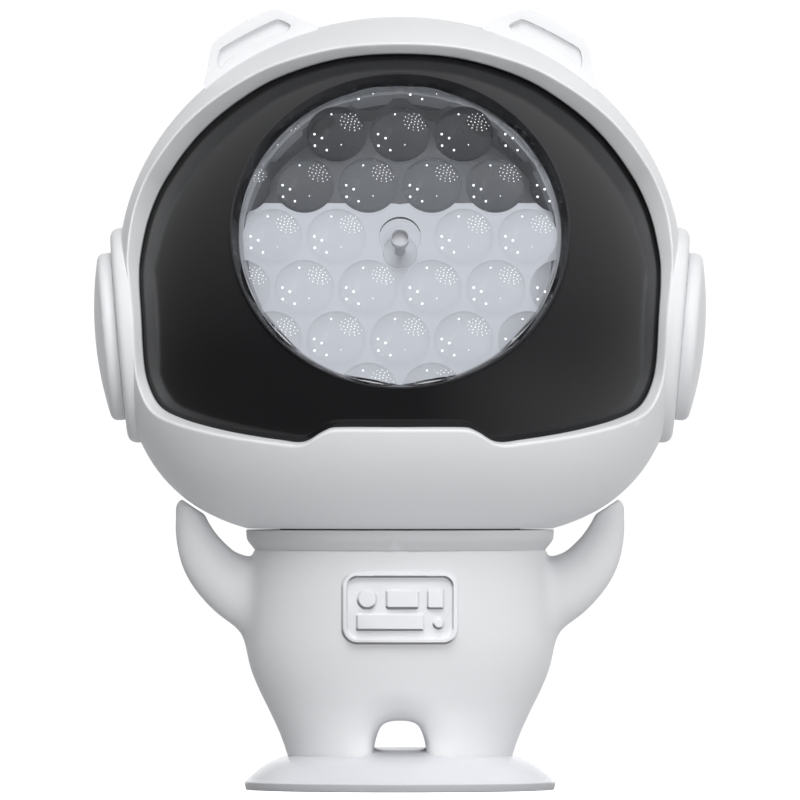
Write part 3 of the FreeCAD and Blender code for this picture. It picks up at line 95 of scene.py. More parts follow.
# Ears, each along its own axis out of the head
EAR_PLACE = 70.4
EAR_DEPTH_PLACE = 6.0
EAR_LEVEL = 113.5
EAR_TILT = 5.0
EAR_PAD_RADIUS = 27.0
EAR_CAP_RADIUS = 21.0
EAR_NECK_RADIUS = 19.0

SIDES = {1: "right", -1: "left"}

# Crown fins
FIN_HALF_DEPTH = 7.5
FIN_RECESS = 1.4
FIN_INNER = 20.5
FIN_OUTER = 49.25
FIN_TOP = 195.0
FIN_HEIGHT = 22.0
FIN_OUTLINE_SHARES = ((0.99, 0.18), (0.965, 0.3), (0.935, 0.535), (0.912, 0.614), (0.86, 0.682),
                      (0.765, 0.762), (0.65, 0.856), (0.44, 0.98), (0.38, 1.0), (0.32, 0.99), (0.0, 0.81))
FIN_RECESS_SHARES = ((0.87, 0.4), (0.852, 0.535), (0.826, 0.57), (0.635, 0.716), (0.46, 0.83),
                     (0.363, 0.886), (0.33, 0.886), (0.238, 0.82), (0.245, 0.785), (0.28, 0.75),
                     (0.415, 0.693), (0.635, 0.557), (0.783, 0.42), (0.852, 0.33))

# Base, torso and arms
BASE_RADIUS = 38.9
BASE_TOP = 10.75
BASE_EDGE = 1.75
DOME_SHARES = ((1.0, 0.0), (0.998, 0.04), (0.979, 0.1), (0.951, 0.22), (0.913, 0.36), (0.868, 0.5),
               (0.807, 0.64), (0.7, 0.79), (0.45, 0.94))
# Half width, half depth and level
TORSO_SIZE = (38.9, 36.0, 60.3)
TORSO_SHARES = ((0.715, 0.8, 0.13), (0.765, 0.778, 0.224), (0.834, 0.788, 0.323), (0.91, 0.835, 0.423),
                (0.97, 0.887, 0.523), (1.0, 0.93, 0.622), (0.99, 0.98, 0.8), (0.938, 1.0, 1.0))
LEG_GAP_FOOT_WIDTH = 13.2
LEG_GAP_TOP_WIDTH = 5.2
ARCH_TURN = 11.0
SKIN_MESH_SIZE = 0.62
# Distance across, level and radius along the arm's spine
ARM_SIZE = (53.9, 73.4, 9.8)
ARM_SHARES = ((0.5, 0.605, 1.04), (0.7, 0.668, 0.94), (0.84, 0.735, 0.73), (0.91, 0.8, 0.62),
              (0.955, 0.875, 0.48), (0.98, 0.955, 0.34))

# Collar between torso and helmet
COLLAR_FOOT = 60.05
COLLAR_TOP = 65.1

# Buttons on the back
BUTTON_LEVEL = 44.0
BUTTON_PITCH = 11.0
BUTTON_RADIUS = 4.38
BUTTON_HOLE_RADIUS = 4.55
BUTTON_HOLE_FLOOR = 23.84

# Power inlet on the back
INLET_WIDTH = 9.2
INLET_HEIGHT = 3.4
INLET_LEVEL = 25.5

# Screw wells from behind: distance across and level
WELL_RADIUS = 3.2
HELMET_WELL = (28.0, 71.6)
TORSO_WELLS = ((24.0, 50.0), (22.0, 26.0))

# Chest panel, measured across and up
PANEL_WIDTH = 29.5
PANEL_HEIGHT = 18.6
PANEL_MIDDLE = 45.9
PANEL_CORNER = 4.2
PANEL_SHAPE_RISE = 1.2
PANEL_ROUND_SHARES = ((-0.278, 0.113, 0.17), (0.325, -0.21, 0.1))
PANEL_BAR_SHARES = ((0.02, 0.118, 0.281, 0.269), (0.299, 0.115, 0.147, 0.274), (-0.084, -0.191, 0.575, 0.242))


def lens_matrix():
    """Turns a shape drawn along +Z onto the lens axis, in millimetres."""
    return Matrix.Translation(Vector(BALL_MIDDLE)) @ Matrix.Rotation(math.radians(90 - LENS_TILT), 4, "X")


def ear_matrix(side):
    """Turns a shape drawn along +Z onto one ear's axis, in millimetres."""
    turn = Matrix.Rotation(math.radians(side * (90 + EAR_TILT)), 4, "Y")
    return Matrix.Translation(Vector((side * EAR_PLACE, EAR_DEPTH_PLACE, EAR_LEVEL))) @ turn


def new_object(name, data):
    piece = bpy.data.objects.new(name, data)
    bpy.context.scene.collection.objects.link(piece)
    return piece


def mesh_object(name, points, faces, place=None, sharp=35):
    """Object from points in millimetres, smooth but for edges that turn by more than an angle."""
    mesh = bpy.data.meshes.new(name)
    mesh.from_pydata([tuple(point) for point in points], [], faces)
    if place is not None:
        mesh.transform(place)
    mesh.transform(Matrix.Scale(MM, 4))
    mesh.update()
    piece = new_object(name, mesh)
    tidy_normals(piece, sharp)
    return piece


def tidy_normals(piece, sharp):
    work = bmesh.new()
    work.from_mesh(piece.data)
    bmesh.ops.remove_doubles(work, verts=work.verts, dist=1e-7)
    bmesh.ops.dissolve_degenerate(work, edges=work.edges, dist=1e-7)
    bmesh.ops.recalc_face_normals(work, faces=work.faces)
    work.to_mesh(piece.data)
    work.free()
    piece.data.shade_smooth()
    piece.data.set_sharp_from_angle(angle=math.radians(sharp))


def finish_piece(piece, body, finish, slot, *nodes):
    """Gives a piece its material, its body and the nodes that it stands for."""
    piece.data.materials.clear()
    piece.data.materials.append(FINISHES[finish])
    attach(piece, body)
    if nodes:
        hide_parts(*nodes)


def strip_faces(rows, columns, ring=True, wrap=False):
    """Quads of a grid of rows, closed round each row, and from the last row to the first if wrapped."""
    faces = []
    for row in range(rows if wrap else rows - 1):
        below = row * columns
        above = (row + 1) % rows * columns
        for column in range(columns if ring else columns - 1):
            after = (column + 1) % columns
            faces.append((below + column, below + after, above + after, above + column))
    return faces


def row_face(row, columns, flip=False):
    """One face over a whole row of a grid."""
    face = tuple(range(row * columns, (row + 1) * columns))
    return face[::-1] if flip else face


def tube_faces(rows, columns):
    """Quads round a tube's rows and a face at each end."""
    return strip_faces(rows, columns) + [row_face(0, columns), row_face(rows - 1, columns, True)]


def circle(count):
    """Angles evenly round a circle."""
    return np.linspace(0, 2 * math.pi, count, endpoint=False)


def unit(ways):
    return ways / np.linalg.norm(ways, axis=-1, keepdims=True)


def easing(count):
    """Shares from 0 to 1, closer at both ends."""
    return (1 - np.cos(np.linspace(0, math.pi, count))) / 2


def smooth_line(points, per_span, level_ends=False):
    """Points along a smooth open curve through the given points."""
    points = np.array(points, float)
    knots = np.concatenate([[0], np.cumsum(np.linalg.norm(np.diff(points, axis=0), axis=1) ** 0.5)])
    slopes = np.gradient(points, knots, axis=0)
    if level_ends:
        slopes[0][1:] = 0
        slopes[-1][1:] = 0
    line = []
    for index in range(len(points) - 1):
        span = knots[index + 1] - knots[index]
        for step in np.linspace(0, 1, per_span, endpoint=False):
            cube, square = step ** 3, step ** 2
            line.append((2 * cube - 3 * square + 1) * points[index]
                        + (cube - 2 * square + step) * span * slopes[index]
                        + (3 * square - 2 * cube) * points[index + 1]
                        + (cube - square) * span * slopes[index + 1])
    line.append(points[-1])
    return np.array(line)


def evenly(line, count):
    """Points spread evenly along a line."""
    reach = np.concatenate([[0], np.cumsum(np.linalg.norm(np.diff(line, axis=0), axis=1))])
    stops = np.linspace(0, reach[-1], count)
    return np.stack([np.interp(stops, reach, line[:, axis]) for axis in range(line.shape[1])], axis=1)


def both_sides(right):
    """Closed loop from a line down the right side, mirrored up the left side."""
    left = right[-2:0:-1] * np.array((-1, 1, 1))
    return np.concatenate([right, left])


def helmet_reach(level, full, middle, height, seat, power):
    """Half width or half depth of the helmet at levels above its floor."""
    rise = np.clip((level - middle) / (height - middle), 0, 1)
    foot = (1 - (seat / full) ** power) ** (1 / power)
    fall = np.clip(foot * (middle - level) / middle, 0, 0.999)
    upper = full * np.sqrt(np.clip(1 - rise ** 2, 1e-9, 1))
    lower = full * (1 - fall ** power) ** (1 / power)
    return np.where(level >= middle, upper, lower)


def outside_helmet(points, inset=0.0):
    """Above zero outside the helmet's form, made smaller all round by an inset."""
    height = HELMET_HEIGHT - 2 * inset
    scale = height / HELMET_HEIGHT
    level = points[..., 2] - HELMET_FLOOR - inset
    seat = HELMET_SEAT_RADIUS - inset
    width = helmet_reach(level, HELMET_HALF_WIDTH - inset, HELMET_WIDEST * scale, height, seat, JAW_POWER)
    depth = helmet_reach(level, HELMET_HALF_DEPTH - inset, HELMET_DEEPEST * scale, height, seat, CHIN_POWER)
    return (points[..., 0] / width) ** 2 + (points[..., 1] / depth) ** 2 - 1


def meet_helmet(origin, aims, inset=0.0):
    """Where rays from an inner point through the aims leave the helmet's form."""
    ways = unit(aims - origin)
    near = np.zeros(ways.shape[:-1])
    far = np.full(ways.shape[:-1], 3 * HELMET_HALF_WIDTH)
    for _ in range(44):
        middle = (near + far) / 2
        out = outside_helmet(origin + ways * middle[..., None], inset) > 0
        far = np.where(out, middle, far)
        near = np.where(out, near, middle)
    return origin + ways * near[..., None]


def on_ball(aims):
    """Where rays from the ball's middle through the aims meet the visor ball."""
    ways = aims - BALL_MIDDLE
    across = ways[..., 0] / BALL_BREADTH
    along = np.linalg.norm(ways[..., 1:], axis=-1) / BALL_RADIUS
    return BALL_MIDDLE + ways / np.sqrt(across ** 2 + along ** 2)[..., None]


def onto_ball_from_front(flat):
    """Points of the ball's front seen at (x, z)."""
    across = (flat[:, 0] / BALL_BREADTH) ** 2
    rise = ((flat[:, 1] - BALL_MIDDLE[2]) / BALL_RADIUS) ** 2
    depth = BALL_MIDDLE[1] - BALL_RADIUS * np.sqrt(1 - across - rise)
    return np.stack([flat[:, 0], depth, flat[:, 1]], axis=1)


def visor_outline(count):
    """The visor's outline on the ball, down the right side from the brow to the chin."""
    size = np.array((OUTLINE_HALF_WIDTH, OUTLINE_HEIGHT))
    flat = smooth_line(np.array(OUTLINE_SHARES) * size, 24, True) + np.array((0, OUTLINE_BOTTOM))
    return evenly(onto_ball_from_front(flat), count)


def seam_line(count, front):
    """Down the right side along the helmet's split and round its seat to the middle, front or back."""
    angles = np.linspace(0, math.pi, 400)
    middle = np.array((0.0, HELMET_SPLIT, 122.0))
    aims = middle + np.stack([np.sin(angles), 0 * angles, np.cos(angles)], axis=1)
    line = meet_helmet(middle, aims)
    line = line[line[:, 2] > HELMET_FLOOR + 0.02]
    start = math.asin(HELMET_SPLIT / HELMET_SEAT_RADIUS)
    end = -math.pi / 2 if front else math.pi / 2
    turns = np.linspace(start, end, 200)
    seat = np.stack([np.cos(turns), np.sin(turns), 0 * turns], axis=1) * HELMET_SEAT_RADIUS
    seat[:, 2] = HELMET_FLOOR
    return evenly(np.concatenate([line, seat]), count)


def rounded_corner(before, corner, after, radius, steps):
    """Rows of points that round a corner between two rows, by one radius or one for each point."""
    into = unit(before - corner) * radius
    out = unit(after - corner) * radius
    return [(1 - step) ** 2 * (corner + into) + 2 * step * (1 - step) * corner + step ** 2 * (corner + out)
            for step in np.linspace(0, 1, steps)]


def blended(start, end, share):
    return start + (end - start) * share


def helmet_front_shell():
    """Closed section swept round the visor opening: flared rim, outer skin, split edge and inner skin."""
    half_columns, rows = 192, 56
    rim = both_sides(visor_outline(half_columns))
    seam = both_sides(seam_line(half_columns, True))
    edge = meet_helmet(LIP_POINT, rim)
    brink = np.stack([rim[:, 0], blended(rim[:, 1], edge[:, 1], LIP_WALL_SHARE), rim[:, 2]], axis=1)
    lip_width = np.linalg.norm(edge - brink, axis=1, keepdims=True)
    seam_way = seam - SIGHT_POINT
    rim_way = edge - SIGHT_POINT

    def skin(share, inset=0.0):
        return meet_helmet(SIGHT_POINT, SIGHT_POINT + blended(rim_way, seam_way, share), inset)

    lip_foot = blended(SIGHT_POINT, rim, 0.998)
    loops = [lip_foot] + rounded_corner(lip_foot, brink, edge, np.minimum(0.3, lip_width * 0.2), 4)
    loops += [blended(brink, edge, share) for share in (0.35, 0.5)]
    loops += rounded_corner(brink, edge, skin(0.03), np.minimum(0.9, lip_width * 0.45), 9)
    loops += [skin(0.034 + 0.963 * share) for share in easing(rows)]
    loops += rounded_corner(loops[-1], skin(1.0), skin(1.0, HELMET_WALL), SEAM_ROUNDING, 4)
    loops += [skin(share, HELMET_WALL) for share in np.linspace(1.0, 0.06, 14)]
    return swept_loops("helmet_front_shell", loops)


def helmet_rear_shell():
    """Rear bowl of the helmet from its split edge to the middle of the back, with two screw wells."""
    inner_point = np.array((0.0, -25.0, 112.0))
    seam = both_sides(seam_line(160, False))
    back = np.array((0.0, HELMET_HALF_DEPTH, 114.0))

    def skin(share, inset=0.0):
        return meet_helmet(inner_point, blended(seam, back, share), inset)

    edge = seam + np.array((0, 0.06, 0))
    inner = meet_helmet(inner_point, edge, HELMET_WALL)
    outer = rounded_corner(inner, edge, skin(0.02), SEAM_ROUNDING, 4)
    outer += [skin(share) for share in np.linspace(0.022, 0.985, 44)]
    inside = [skin(share, HELMET_WALL) for share in np.linspace(0.985, 0.0, 12)]
    rows, columns = len(outer) + len(inside), len(seam)
    faces = strip_faces(rows, columns, wrap=True)
    between = (len(outer) - 1) * columns
    faces[between:between + columns] = [row_face(len(outer) - 1, columns)]
    faces.insert(-columns, row_face(len(outer), columns, True))
    shell = mesh_object("helmet_rear_shell", np.concatenate(outer + inside), faces)
    across, level = HELMET_WELL
    wells = [rod_along_depth(WELL_RADIUS, 13.5, 80, side * across, level) for side in (-1, 1)]
    cut_with(shell, joined_pieces("wells", wells))
    tidy_normals(shell, 35)
    return shell


def visor_shield():
    """Curved shield with a border line, a tuck behind the helmet's rim and the round hole for the bezel."""
    outline = both_sides(visor_outline(192))
    middle = np.array((0.0, outline[:, 1].mean(), OUTLINE_BOTTOM + OUTLINE_HEIGHT / 2))
    away = outline - middle
    tuck = on_ball(middle + away * (1 + VISOR_TUCK / np.linalg.norm(away[:, [0, 2]], axis=1, keepdims=True)))
    into_lens = np.array(lens_matrix().inverted().to_3x3())
    local = (outline - BALL_MIDDLE) @ into_lens.T
    turn = np.arctan2(local[:, 1], local[:, 0])
    radius = BEZEL_RADIUS + 0.05
    x, y = radius * np.cos(turn), radius * np.sin(turn)
    rise = np.sqrt(BALL_RADIUS ** 2 * (1 - (x / BALL_BREADTH) ** 2) - y ** 2)
    hole = np.stack([x, y, rise], axis=1) @ np.array(lens_matrix().to_3x3()).T + BALL_MIDDLE
    width = np.linalg.norm(outline - hole, axis=1, keepdims=True)

    def sunk(points, depth):
        return points - unit(points - BALL_MIDDLE) * depth

    def skin(share, depth=0.0):
        return sunk(on_ball(hole + (outline - hole) * share), depth)

    border = 1 - BORDER_WIDTH / width
    step = 0.35 / width
    loops = [skin(0.0, 0.3)] + [skin(border * share) for share in easing(40)]
    loops += [skin(border + step * 0.5, 0.06), skin(border + step, 0.2)]
    loops += [skin(blended(border + step, 1.0, share), blended(0.2, BORDER_DROP, share))
              for share in (0.35, 0.7, 1.0)]
    loops += [sunk(tuck, BORDER_DROP), sunk(tuck, VISOR_WALL)]
    loops += [skin(share, VISOR_WALL) for share in np.linspace(1.0, 0.0, 12)]
    return swept_loops("visor_shield", loops, 50)


def swept_loops(name, loops, sharp=35):
    """Closed skin through rows of points, from the last row back to the first."""
    faces = strip_faces(len(loops), len(loops[0]), wrap=True)
    return mesh_object(name, np.concatenate(loops), faces, sharp=sharp)


def rounded_profile(corners, steps=5):
    """Outline of (radius, height, rounding) corners with each corner rounded."""
    line = []
    for index, (*corner, rounding) in enumerate(corners):
        here = np.array(corner, float)
        if rounding == 0:
            line.append(here)
        else:
            before, after = (np.array(corners[near % len(corners)][:2], float)
                             for near in (index - 1, index + 1))
            line += rounded_corner(before, here, after, rounding, steps)
    return line


def lathe(name, profile, place, segments):
    """Turned solid from an outline of (radius, height), closed back to its start."""
    points = [(radius * math.cos(turn), radius * math.sin(turn), height) for turn in circle(segments)
              for radius, height in profile]
    return mesh_object(name, points, strip_faces(segments, len(profile), wrap=True), place)


def cut_with(piece, *tools, operation="DIFFERENCE"):
    """Applies Booleans and removes the tools."""
    for tool in tools:
        modifier = piece.modifiers.new("cut", "BOOLEAN")
        modifier.operation = operation
        modifier.solver = "EXACT"
        modifier.object = tool
        bake_modifiers(piece)
        bpy.data.objects.remove(tool)


def bake_modifiers(piece):
    graph = bpy.context.evaluated_depsgraph_get()
    mesh = bpy.data.meshes.new_from_object(piece.evaluated_get(graph))
    piece.modifiers.clear()
    piece.data = mesh


def prism_along_depth(name, outline, front, back):
    """Prism along +Y through an outline of (x, z) points."""
    count = len(outline)
    points = [(x, depth, z) for depth in (front, back) for x, z in outline]
    faces = [row_face(0, count), row_face(1, count, True)] + strip_faces(2, count)
    return mesh_object(name, points, faces, sharp=30)


def closed_smooth(outline, per_span):
    """Smooth closed outline through the given points."""
    ring = np.array(outline * 3, float)
    line = smooth_line(ring, per_span)
    count = len(outline) * per_span
    return [tuple(point) for point in line[count:2 * count]]


def softened(piece, width, segments, angle):
    """Rounds a piece's sharp edges."""
    bevel = piece.modifiers.new("soft edges", "BEVEL")
    bevel.width = width * MM
    bevel.segments = segments
    bevel.limit_method = "ANGLE"
    bevel.angle_limit = math.radians(angle)
    bake_modifiers(piece)
    tidy_normals(piece, 40)
    return piece


def joined_pieces(name, pieces):
    """One mesh from several, which are removed."""
    work = bmesh.new()
    for piece in pieces:
        work.from_mesh(piece.data)
        bpy.data.objects.remove(piece)
    return object_from(work, name)


def object_from(work, name, place=None):
    """Object from a working mesh, moved first if a place is given."""
    mesh = bpy.data.meshes.new(name)
    work.to_mesh(mesh)
    work.free()
    if place is not None:
        mesh.transform(place)
    return new_object(name, mesh)


# Lens window

def lens_bezel_ring():
    profile = rounded_profile([(BEZEL_RADIUS, 51.5, 0), (BEZEL_RADIUS, 61.0, 0.3), (41.75, 61.0, 0.12),
                               (40.0, 58.0, 0.25), (40.0, 57.5, 0.1), (41.2, 57.5, 0), (41.2, 51.5, 0)])
    return lathe("lens_bezel_ring", profile, lens_matrix(), 256)


def bubble_places():
    """Middles of the bubbles on a hexagonal grid, without the one at the hub."""
    row_pitch = BUBBLE_PITCH * math.sqrt(0.75)
    places = []
    for row in range(-4, 5):
        for column in range(-5, 6):
            x = (column + (row % 2) / 2) * BUBBLE_PITCH
            y = row * row_pitch
            if BUBBLE_PITCH / 2 < math.hypot(x, y) < BUBBLE_LIMIT + BUBBLE_RADIUS * 0.75:
                places.append((x, y))
    return places


def bubble_level(reach):
    """Height of a bubble's face above the disc at a distance from its middle."""
    ball = (BUBBLE_RADIUS ** 2 + BUBBLE_HEIGHT ** 2) / (2 * BUBBLE_HEIGHT)
    return math.sqrt(max(0, ball ** 2 - reach ** 2)) - ball + BUBBLE_HEIGHT


def bubble_lens():
    """Clear disc with a bubble lens at each place, a sunk hub and a bore for the spindle."""
    reaches = BUBBLE_RADIUS * np.sin(np.linspace(0.06, 1, 14) * math.pi / 2)
    arc = [(reach, DISC_FRONT + bubble_level(reach)) for reach in reaches]
    arc[-1] = (BUBBLE_RADIUS, DISC_FRONT)
    foot = DISC_FRONT - 0.5
    profile = [(AXIS, foot), (AXIS, DISC_FRONT + BUBBLE_HEIGHT)] + arc + [(BUBBLE_RADIUS, foot)]
    bubbles = joined_pieces("bubbles", [lathe("bubble", profile, Matrix.Translation((x, y, 0)), 64)
                                        for x, y in bubble_places()])
    limit = [(AXIS, 50), (BUBBLE_LIMIT, 50), (BUBBLE_LIMIT, 64), (AXIS, 64)]
    cut_with(bubbles, lathe("limit", limit, None, 192), operation="INTERSECT")
    hub_floor = DISC_FRONT - HUB_SINK
    profile = rounded_profile([(SPINDLE_RADIUS, DISC_BACK, 0), (DISC_RADIUS, DISC_BACK, 0.2),
                               (DISC_RADIUS, DISC_FRONT, 0.2), (HUB_RADIUS, DISC_FRONT, 0.12),
                               (HUB_RADIUS - 0.15, hub_floor, 0.2), (SPINDLE_RADIUS, hub_floor, 0)])
    disc = lathe("bubble_lens", profile, None, 192)
    cut_with(disc, bubbles, operation="UNION")
    for place in (Matrix.Scale(1 / MM, 4), lens_matrix(), Matrix.Scale(MM, 4)):
        disc.data.transform(place)
    tidy_normals(disc, 25)
    return disc


def hub_spindle():
    """Pale spindle with a ring that fills the diffuser's hole, and a hollow end in the hub."""
    ring, post, tip, bore = 4.36, 1.3, SPINDLE_RADIUS - 0.02, SPINDLE_RADIUS - 0.14
    profile = rounded_profile([(AXIS, 18.5, 0), (SPINDLE_RADIUS, 18.5, 0.2), (SPINDLE_RADIUS, 44.6, 0),
                               (ring, 44.6, 0.1), (ring, 45.95, 0.08), (post, 45.95, 0.4), (post, 52.6, 0),
                               (tip, 53.3, 0.3), (tip, 56.2, 0.05), (bore, 56.2, 0.05), (bore, 53.8, 0.1),
                               (AXIS, 53.8, 0)])
    return lathe("hub_spindle", profile, lens_matrix(), 96)


def painted_glint_points():
    """Fine raised points on each bubble, in the same pattern on all of them, that glow as painted glints
    standing in for reflections of lamps.
    """
    pattern = [(-1.25, 4.7, 0.28), (-5.45, -0.5, 0.34), (-3.6, -1.8, 0.34), (-5.35, -3.4, 0.34),
               (-2.4, -4.8, 0.32), (1.2, -3.6, 0.17)]
    for count, away, first in ((1, 0.0, 0), (6, 0.95, 20), (10, 1.85, 5), (13, 2.7, 12)):
        for index in range(count):
            turn = math.radians(first + index * 360 / count)
            size = 0.13 + 0.025 * math.sin(index * 2.3 + away)
            pattern.append((3.7 + away * math.cos(turn), 2.7 + 0.9 * away * math.sin(turn), size))
    work = bmesh.new()
    for x, y in bubble_places():
        for right, up, size in pattern:
            reach = math.hypot(right, up)
            if reach > BUBBLE_RADIUS - 0.3 or math.hypot(x + right, y + up) > BUBBLE_LIMIT - 0.4:
                continue
            place = Matrix.Translation((x + right, y + up, DISC_FRONT + bubble_level(reach) + 0.01))
            bmesh.ops.create_icosphere(work, subdivisions=1, radius=1, matrix=place @ Matrix.Scale(size, 4))
    piece = object_from(work, "painted_glint_points", lens_matrix())
    piece.data.transform(Matrix.Scale(MM, 4))
    piece.data.shade_smooth()
    return piece


# Ears and fins

def ear_ring(side):
    bore = EAR_NECK_RADIUS + 0.05
    profile = rounded_profile([(bore, -13, 0), (EAR_PAD_RADIUS, -13, 0), (EAR_PAD_RADIUS, 0, 3.0),
                               (bore, 0, 0.25)], 13)
    ring = lathe("ear_ring_" + SIDES[side], profile, ear_matrix(side), 192)
    cut_with(ring, helmet_form("seat", 0.12))
    tidy_normals(ring, 35)
    return ring


def ear_dome(side):
    """Domed cap with a rounded rim, standing on its ring over a slightly smaller neck."""
    rise, reach = 2.5, EAR_CAP_RADIUS - 2.0
    ball = (EAR_CAP_RADIUS ** 2 + rise ** 2) / (2 * rise)
    top = 3.35 + rise
    arc = [(away, top - ball + math.sqrt(ball ** 2 - away ** 2)) for away in np.linspace(AXIS, reach, 16)]
    corner = rounded_profile([(0, 3.5, 0), (reach, arc[-1][1], 0), (EAR_CAP_RADIUS, 3.42, 1.9),
                              (EAR_CAP_RADIUS, 0.03, 0.4), (EAR_NECK_RADIUS, 0.03, 0),
                              (EAR_NECK_RADIUS, -12, 0), (AXIS, -12, 0)], 11)
    return lathe("ear_dome_" + SIDES[side], arc + corner[2:], ear_matrix(side), 192)


def crown_fin(side):
    """Upright fin with softened edges and a shallow panel let into both faces."""
    def placed(shares):
        return [(side * blended(FIN_INNER, FIN_OUTER, x), FIN_TOP + (z - 1) * FIN_HEIGHT) for x, z in shares]

    brow = [tuple(point) for point in smooth_line(FIN_OUTLINE_SHARES, 5)]
    outline = placed(brow + [(0.0, -0.3), (0.94, -0.4)])
    fin = prism_along_depth("crown_fin_" + SIDES[side], outline, -FIN_HALF_DEPTH, FIN_HALF_DEPTH)
    window = placed(closed_smooth(list(FIN_RECESS_SHARES), 4))
    floor = FIN_HALF_DEPTH - FIN_RECESS
    cut_with(fin, *(softened(prism_along_depth("panel", window, *ends), 0.35, 3, 50)
                    for ends in ((-12, -floor), (floor, 12))))
    return softened(fin, 0.55, 4, 40)


# Stand

def barrel_rows(per_span=8):
    return smooth_line(np.array(TORSO_SHARES) * TORSO_SIZE, per_span)


def barrel_size(levels):
    """Half width and half depth of the torso at levels."""
    rows = barrel_rows(24)
    return (np.interp(levels, rows[:, 2], rows[:, axis]) for axis in (0, 1))


def arm_line():
    """Spine places and radii from inside the shoulder to the rounded tip."""
    return smooth_line(np.array(ARM_SHARES) * ARM_SIZE, 10)


def arm_horn(side):
    line = arm_line()
    ways = unit(np.gradient(line[:, :2], axis=0))
    rows = [(place[0], place[1], place[2], way) for place, way in zip(line, ways)]
    tip, tip_way = line[-1], ways[-1]
    for turn in np.linspace(0.15, 1.45, 8):
        reach = tip[2] * math.sin(turn)
        rows.append((*(tip[:2] + tip_way * reach), tip[2] * math.cos(turn), tip_way))
    points = []
    for x, z, radius, way in rows:
        for turn in circle(40):
            out, along = radius * math.cos(turn), radius * math.sin(turn)
            points.append((side * (x + out * way[1]), along, z - out * way[0]))
    return mesh_object("arm", points, tube_faces(len(rows), 40))


def helmet_form(name, inset):
    """The helmet's closed form, smaller all round by an inset."""
    middle = np.array((0.0, 0.0, 120.0))
    tilts, turns = np.linspace(0.02, math.pi - 0.02, 72), circle(160)
    aims = np.array([[(math.sin(tilt) * math.cos(turn), math.sin(tilt) * math.sin(turn), math.cos(tilt))
                      for turn in turns] for tilt in tilts])
    points = meet_helmet(middle, middle + aims, inset).reshape(-1, 3)
    return mesh_object(name, points, tube_faces(len(tilts), len(turns)))


def leg_arch():
    foot, top = LEG_GAP_FOOT_WIDTH / 2, LEG_GAP_TOP_WIDTH / 2
    curve = [(foot, -2.0), (foot, 8.5), (foot * 0.98, 10.75), (foot * 0.86, 14.2), (foot * 0.66, 16.7),
             (top * 0.9, 17.5), (0, 17.6)]
    right = [tuple(point) for point in smooth_line(curve, 5)]
    left = [(-x, z) for x, z in right[-2::-1]]
    return prism_along_depth("leg_arch", right + left, -60, 60)


def off_arch(points):
    """Distance across from the arch between the legs, below zero inside it."""
    foot = LEG_GAP_FOOT_WIDTH / 2
    across = np.abs(points[:, 0])
    return np.where(points[:, 2] < ARCH_TURN, across, np.hypot(across, points[:, 2] - ARCH_TURN)) - foot


def near_creases(points):
    """How near each point of the torso lies to the creases at its shoulders and its arch, from 0 to 1."""
    width, depth = barrel_size(points[:, 2])
    off_barrel = (np.sqrt((points[:, 0] / width) ** 2 + (points[:, 1] / depth) ** 2) - 1) * 37
    line = arm_line()
    across = np.abs(points[:, 0])[:, None] - line[None, :, 0]
    rise = points[:, 2][:, None] - line[None, :, 1]
    off_arm = (np.sqrt(across ** 2 + points[:, 1][:, None] ** 2 + rise ** 2) - line[None, :, 2]).min(axis=1)

    def nearness(off, width, ceiling, gain):
        bell = np.exp(-(off_barrel ** 2 + off ** 2) / (2 * width ** 2))
        return np.clip(bell * (points[:, 2] < ceiling) * gain, 0, 1)

    return nearness(off_arm, 3.2, 57.5, 1.6), nearness(off_arch(points), 1.6, 24, 1.5)


def drawn_in_at_the_arch(points):
    """Rounds the front and back of each leg in towards the arch between them."""
    share = np.clip(1 - np.clip(off_arch(points), 0, None) / 8.5, 0, 1)
    depth = np.abs(points[:, 1])
    drawn = 5.2 * (1 - np.sqrt(1 - share ** 2.2)) * np.clip((depth - 6.0) / 14.0, 0, 1)
    kept = 1 - drawn / np.maximum(depth, 1e-6)
    return points * np.stack([np.ones_like(depth), kept, np.ones_like(depth)], axis=1)


def relaxed(piece, rounds):
    """Evens out a mesh, most where it lies near a crease."""
    mesh = piece.data
    points = np.zeros(len(mesh.vertices) * 3)
    mesh.vertices.foreach_get("co", points)
    points = points.reshape(-1, 3) / MM
    ends = np.zeros(len(mesh.edges) * 2, int)
    mesh.edges.foreach_get("vertices", ends)
    first, second = ends.reshape(-1, 2).T
    degree = np.bincount(ends, minlength=len(points))[:, None]
    shoulder, crotch = near_creases(points)
    for turn in range(rounds):
        pull = np.stack([np.bincount(first, points[second, axis], len(points))
                         + np.bincount(second, points[first, axis], len(points))
                         for axis in range(3)], axis=1)
        share = shoulder + (crotch if turn < 14 else 0)
        if turn < 3:
            share = np.maximum(share, 0.6)
        points += np.clip(share, 0, 0.9)[:, None] * (pull / degree - points)
    mesh.vertices.foreach_set("co", (drawn_in_at_the_arch(points) * MM).ravel())
    mesh.update()


def rod_along_depth(radius, front, back, x, z):
    outline = [(x + radius * math.cos(turn), z + radius * math.sin(turn)) for turn in circle(48)]
    return prism_along_depth("rod", outline, front, back)


def round_outline(width, height, corner, middle):
    """Rounded rectangle as (x, z) points about a middle."""
    outline = []
    for side, rise, first in ((1, 1, 0), (-1, 1, 90), (-1, -1, 180), (1, -1, 270)):
        for turn in np.radians(np.linspace(first, first + 90, 7)):
            outline.append((side * (width / 2 - corner) + corner * math.cos(turn),
                            middle + rise * (height / 2 - corner) + corner * math.sin(turn)))
    return outline


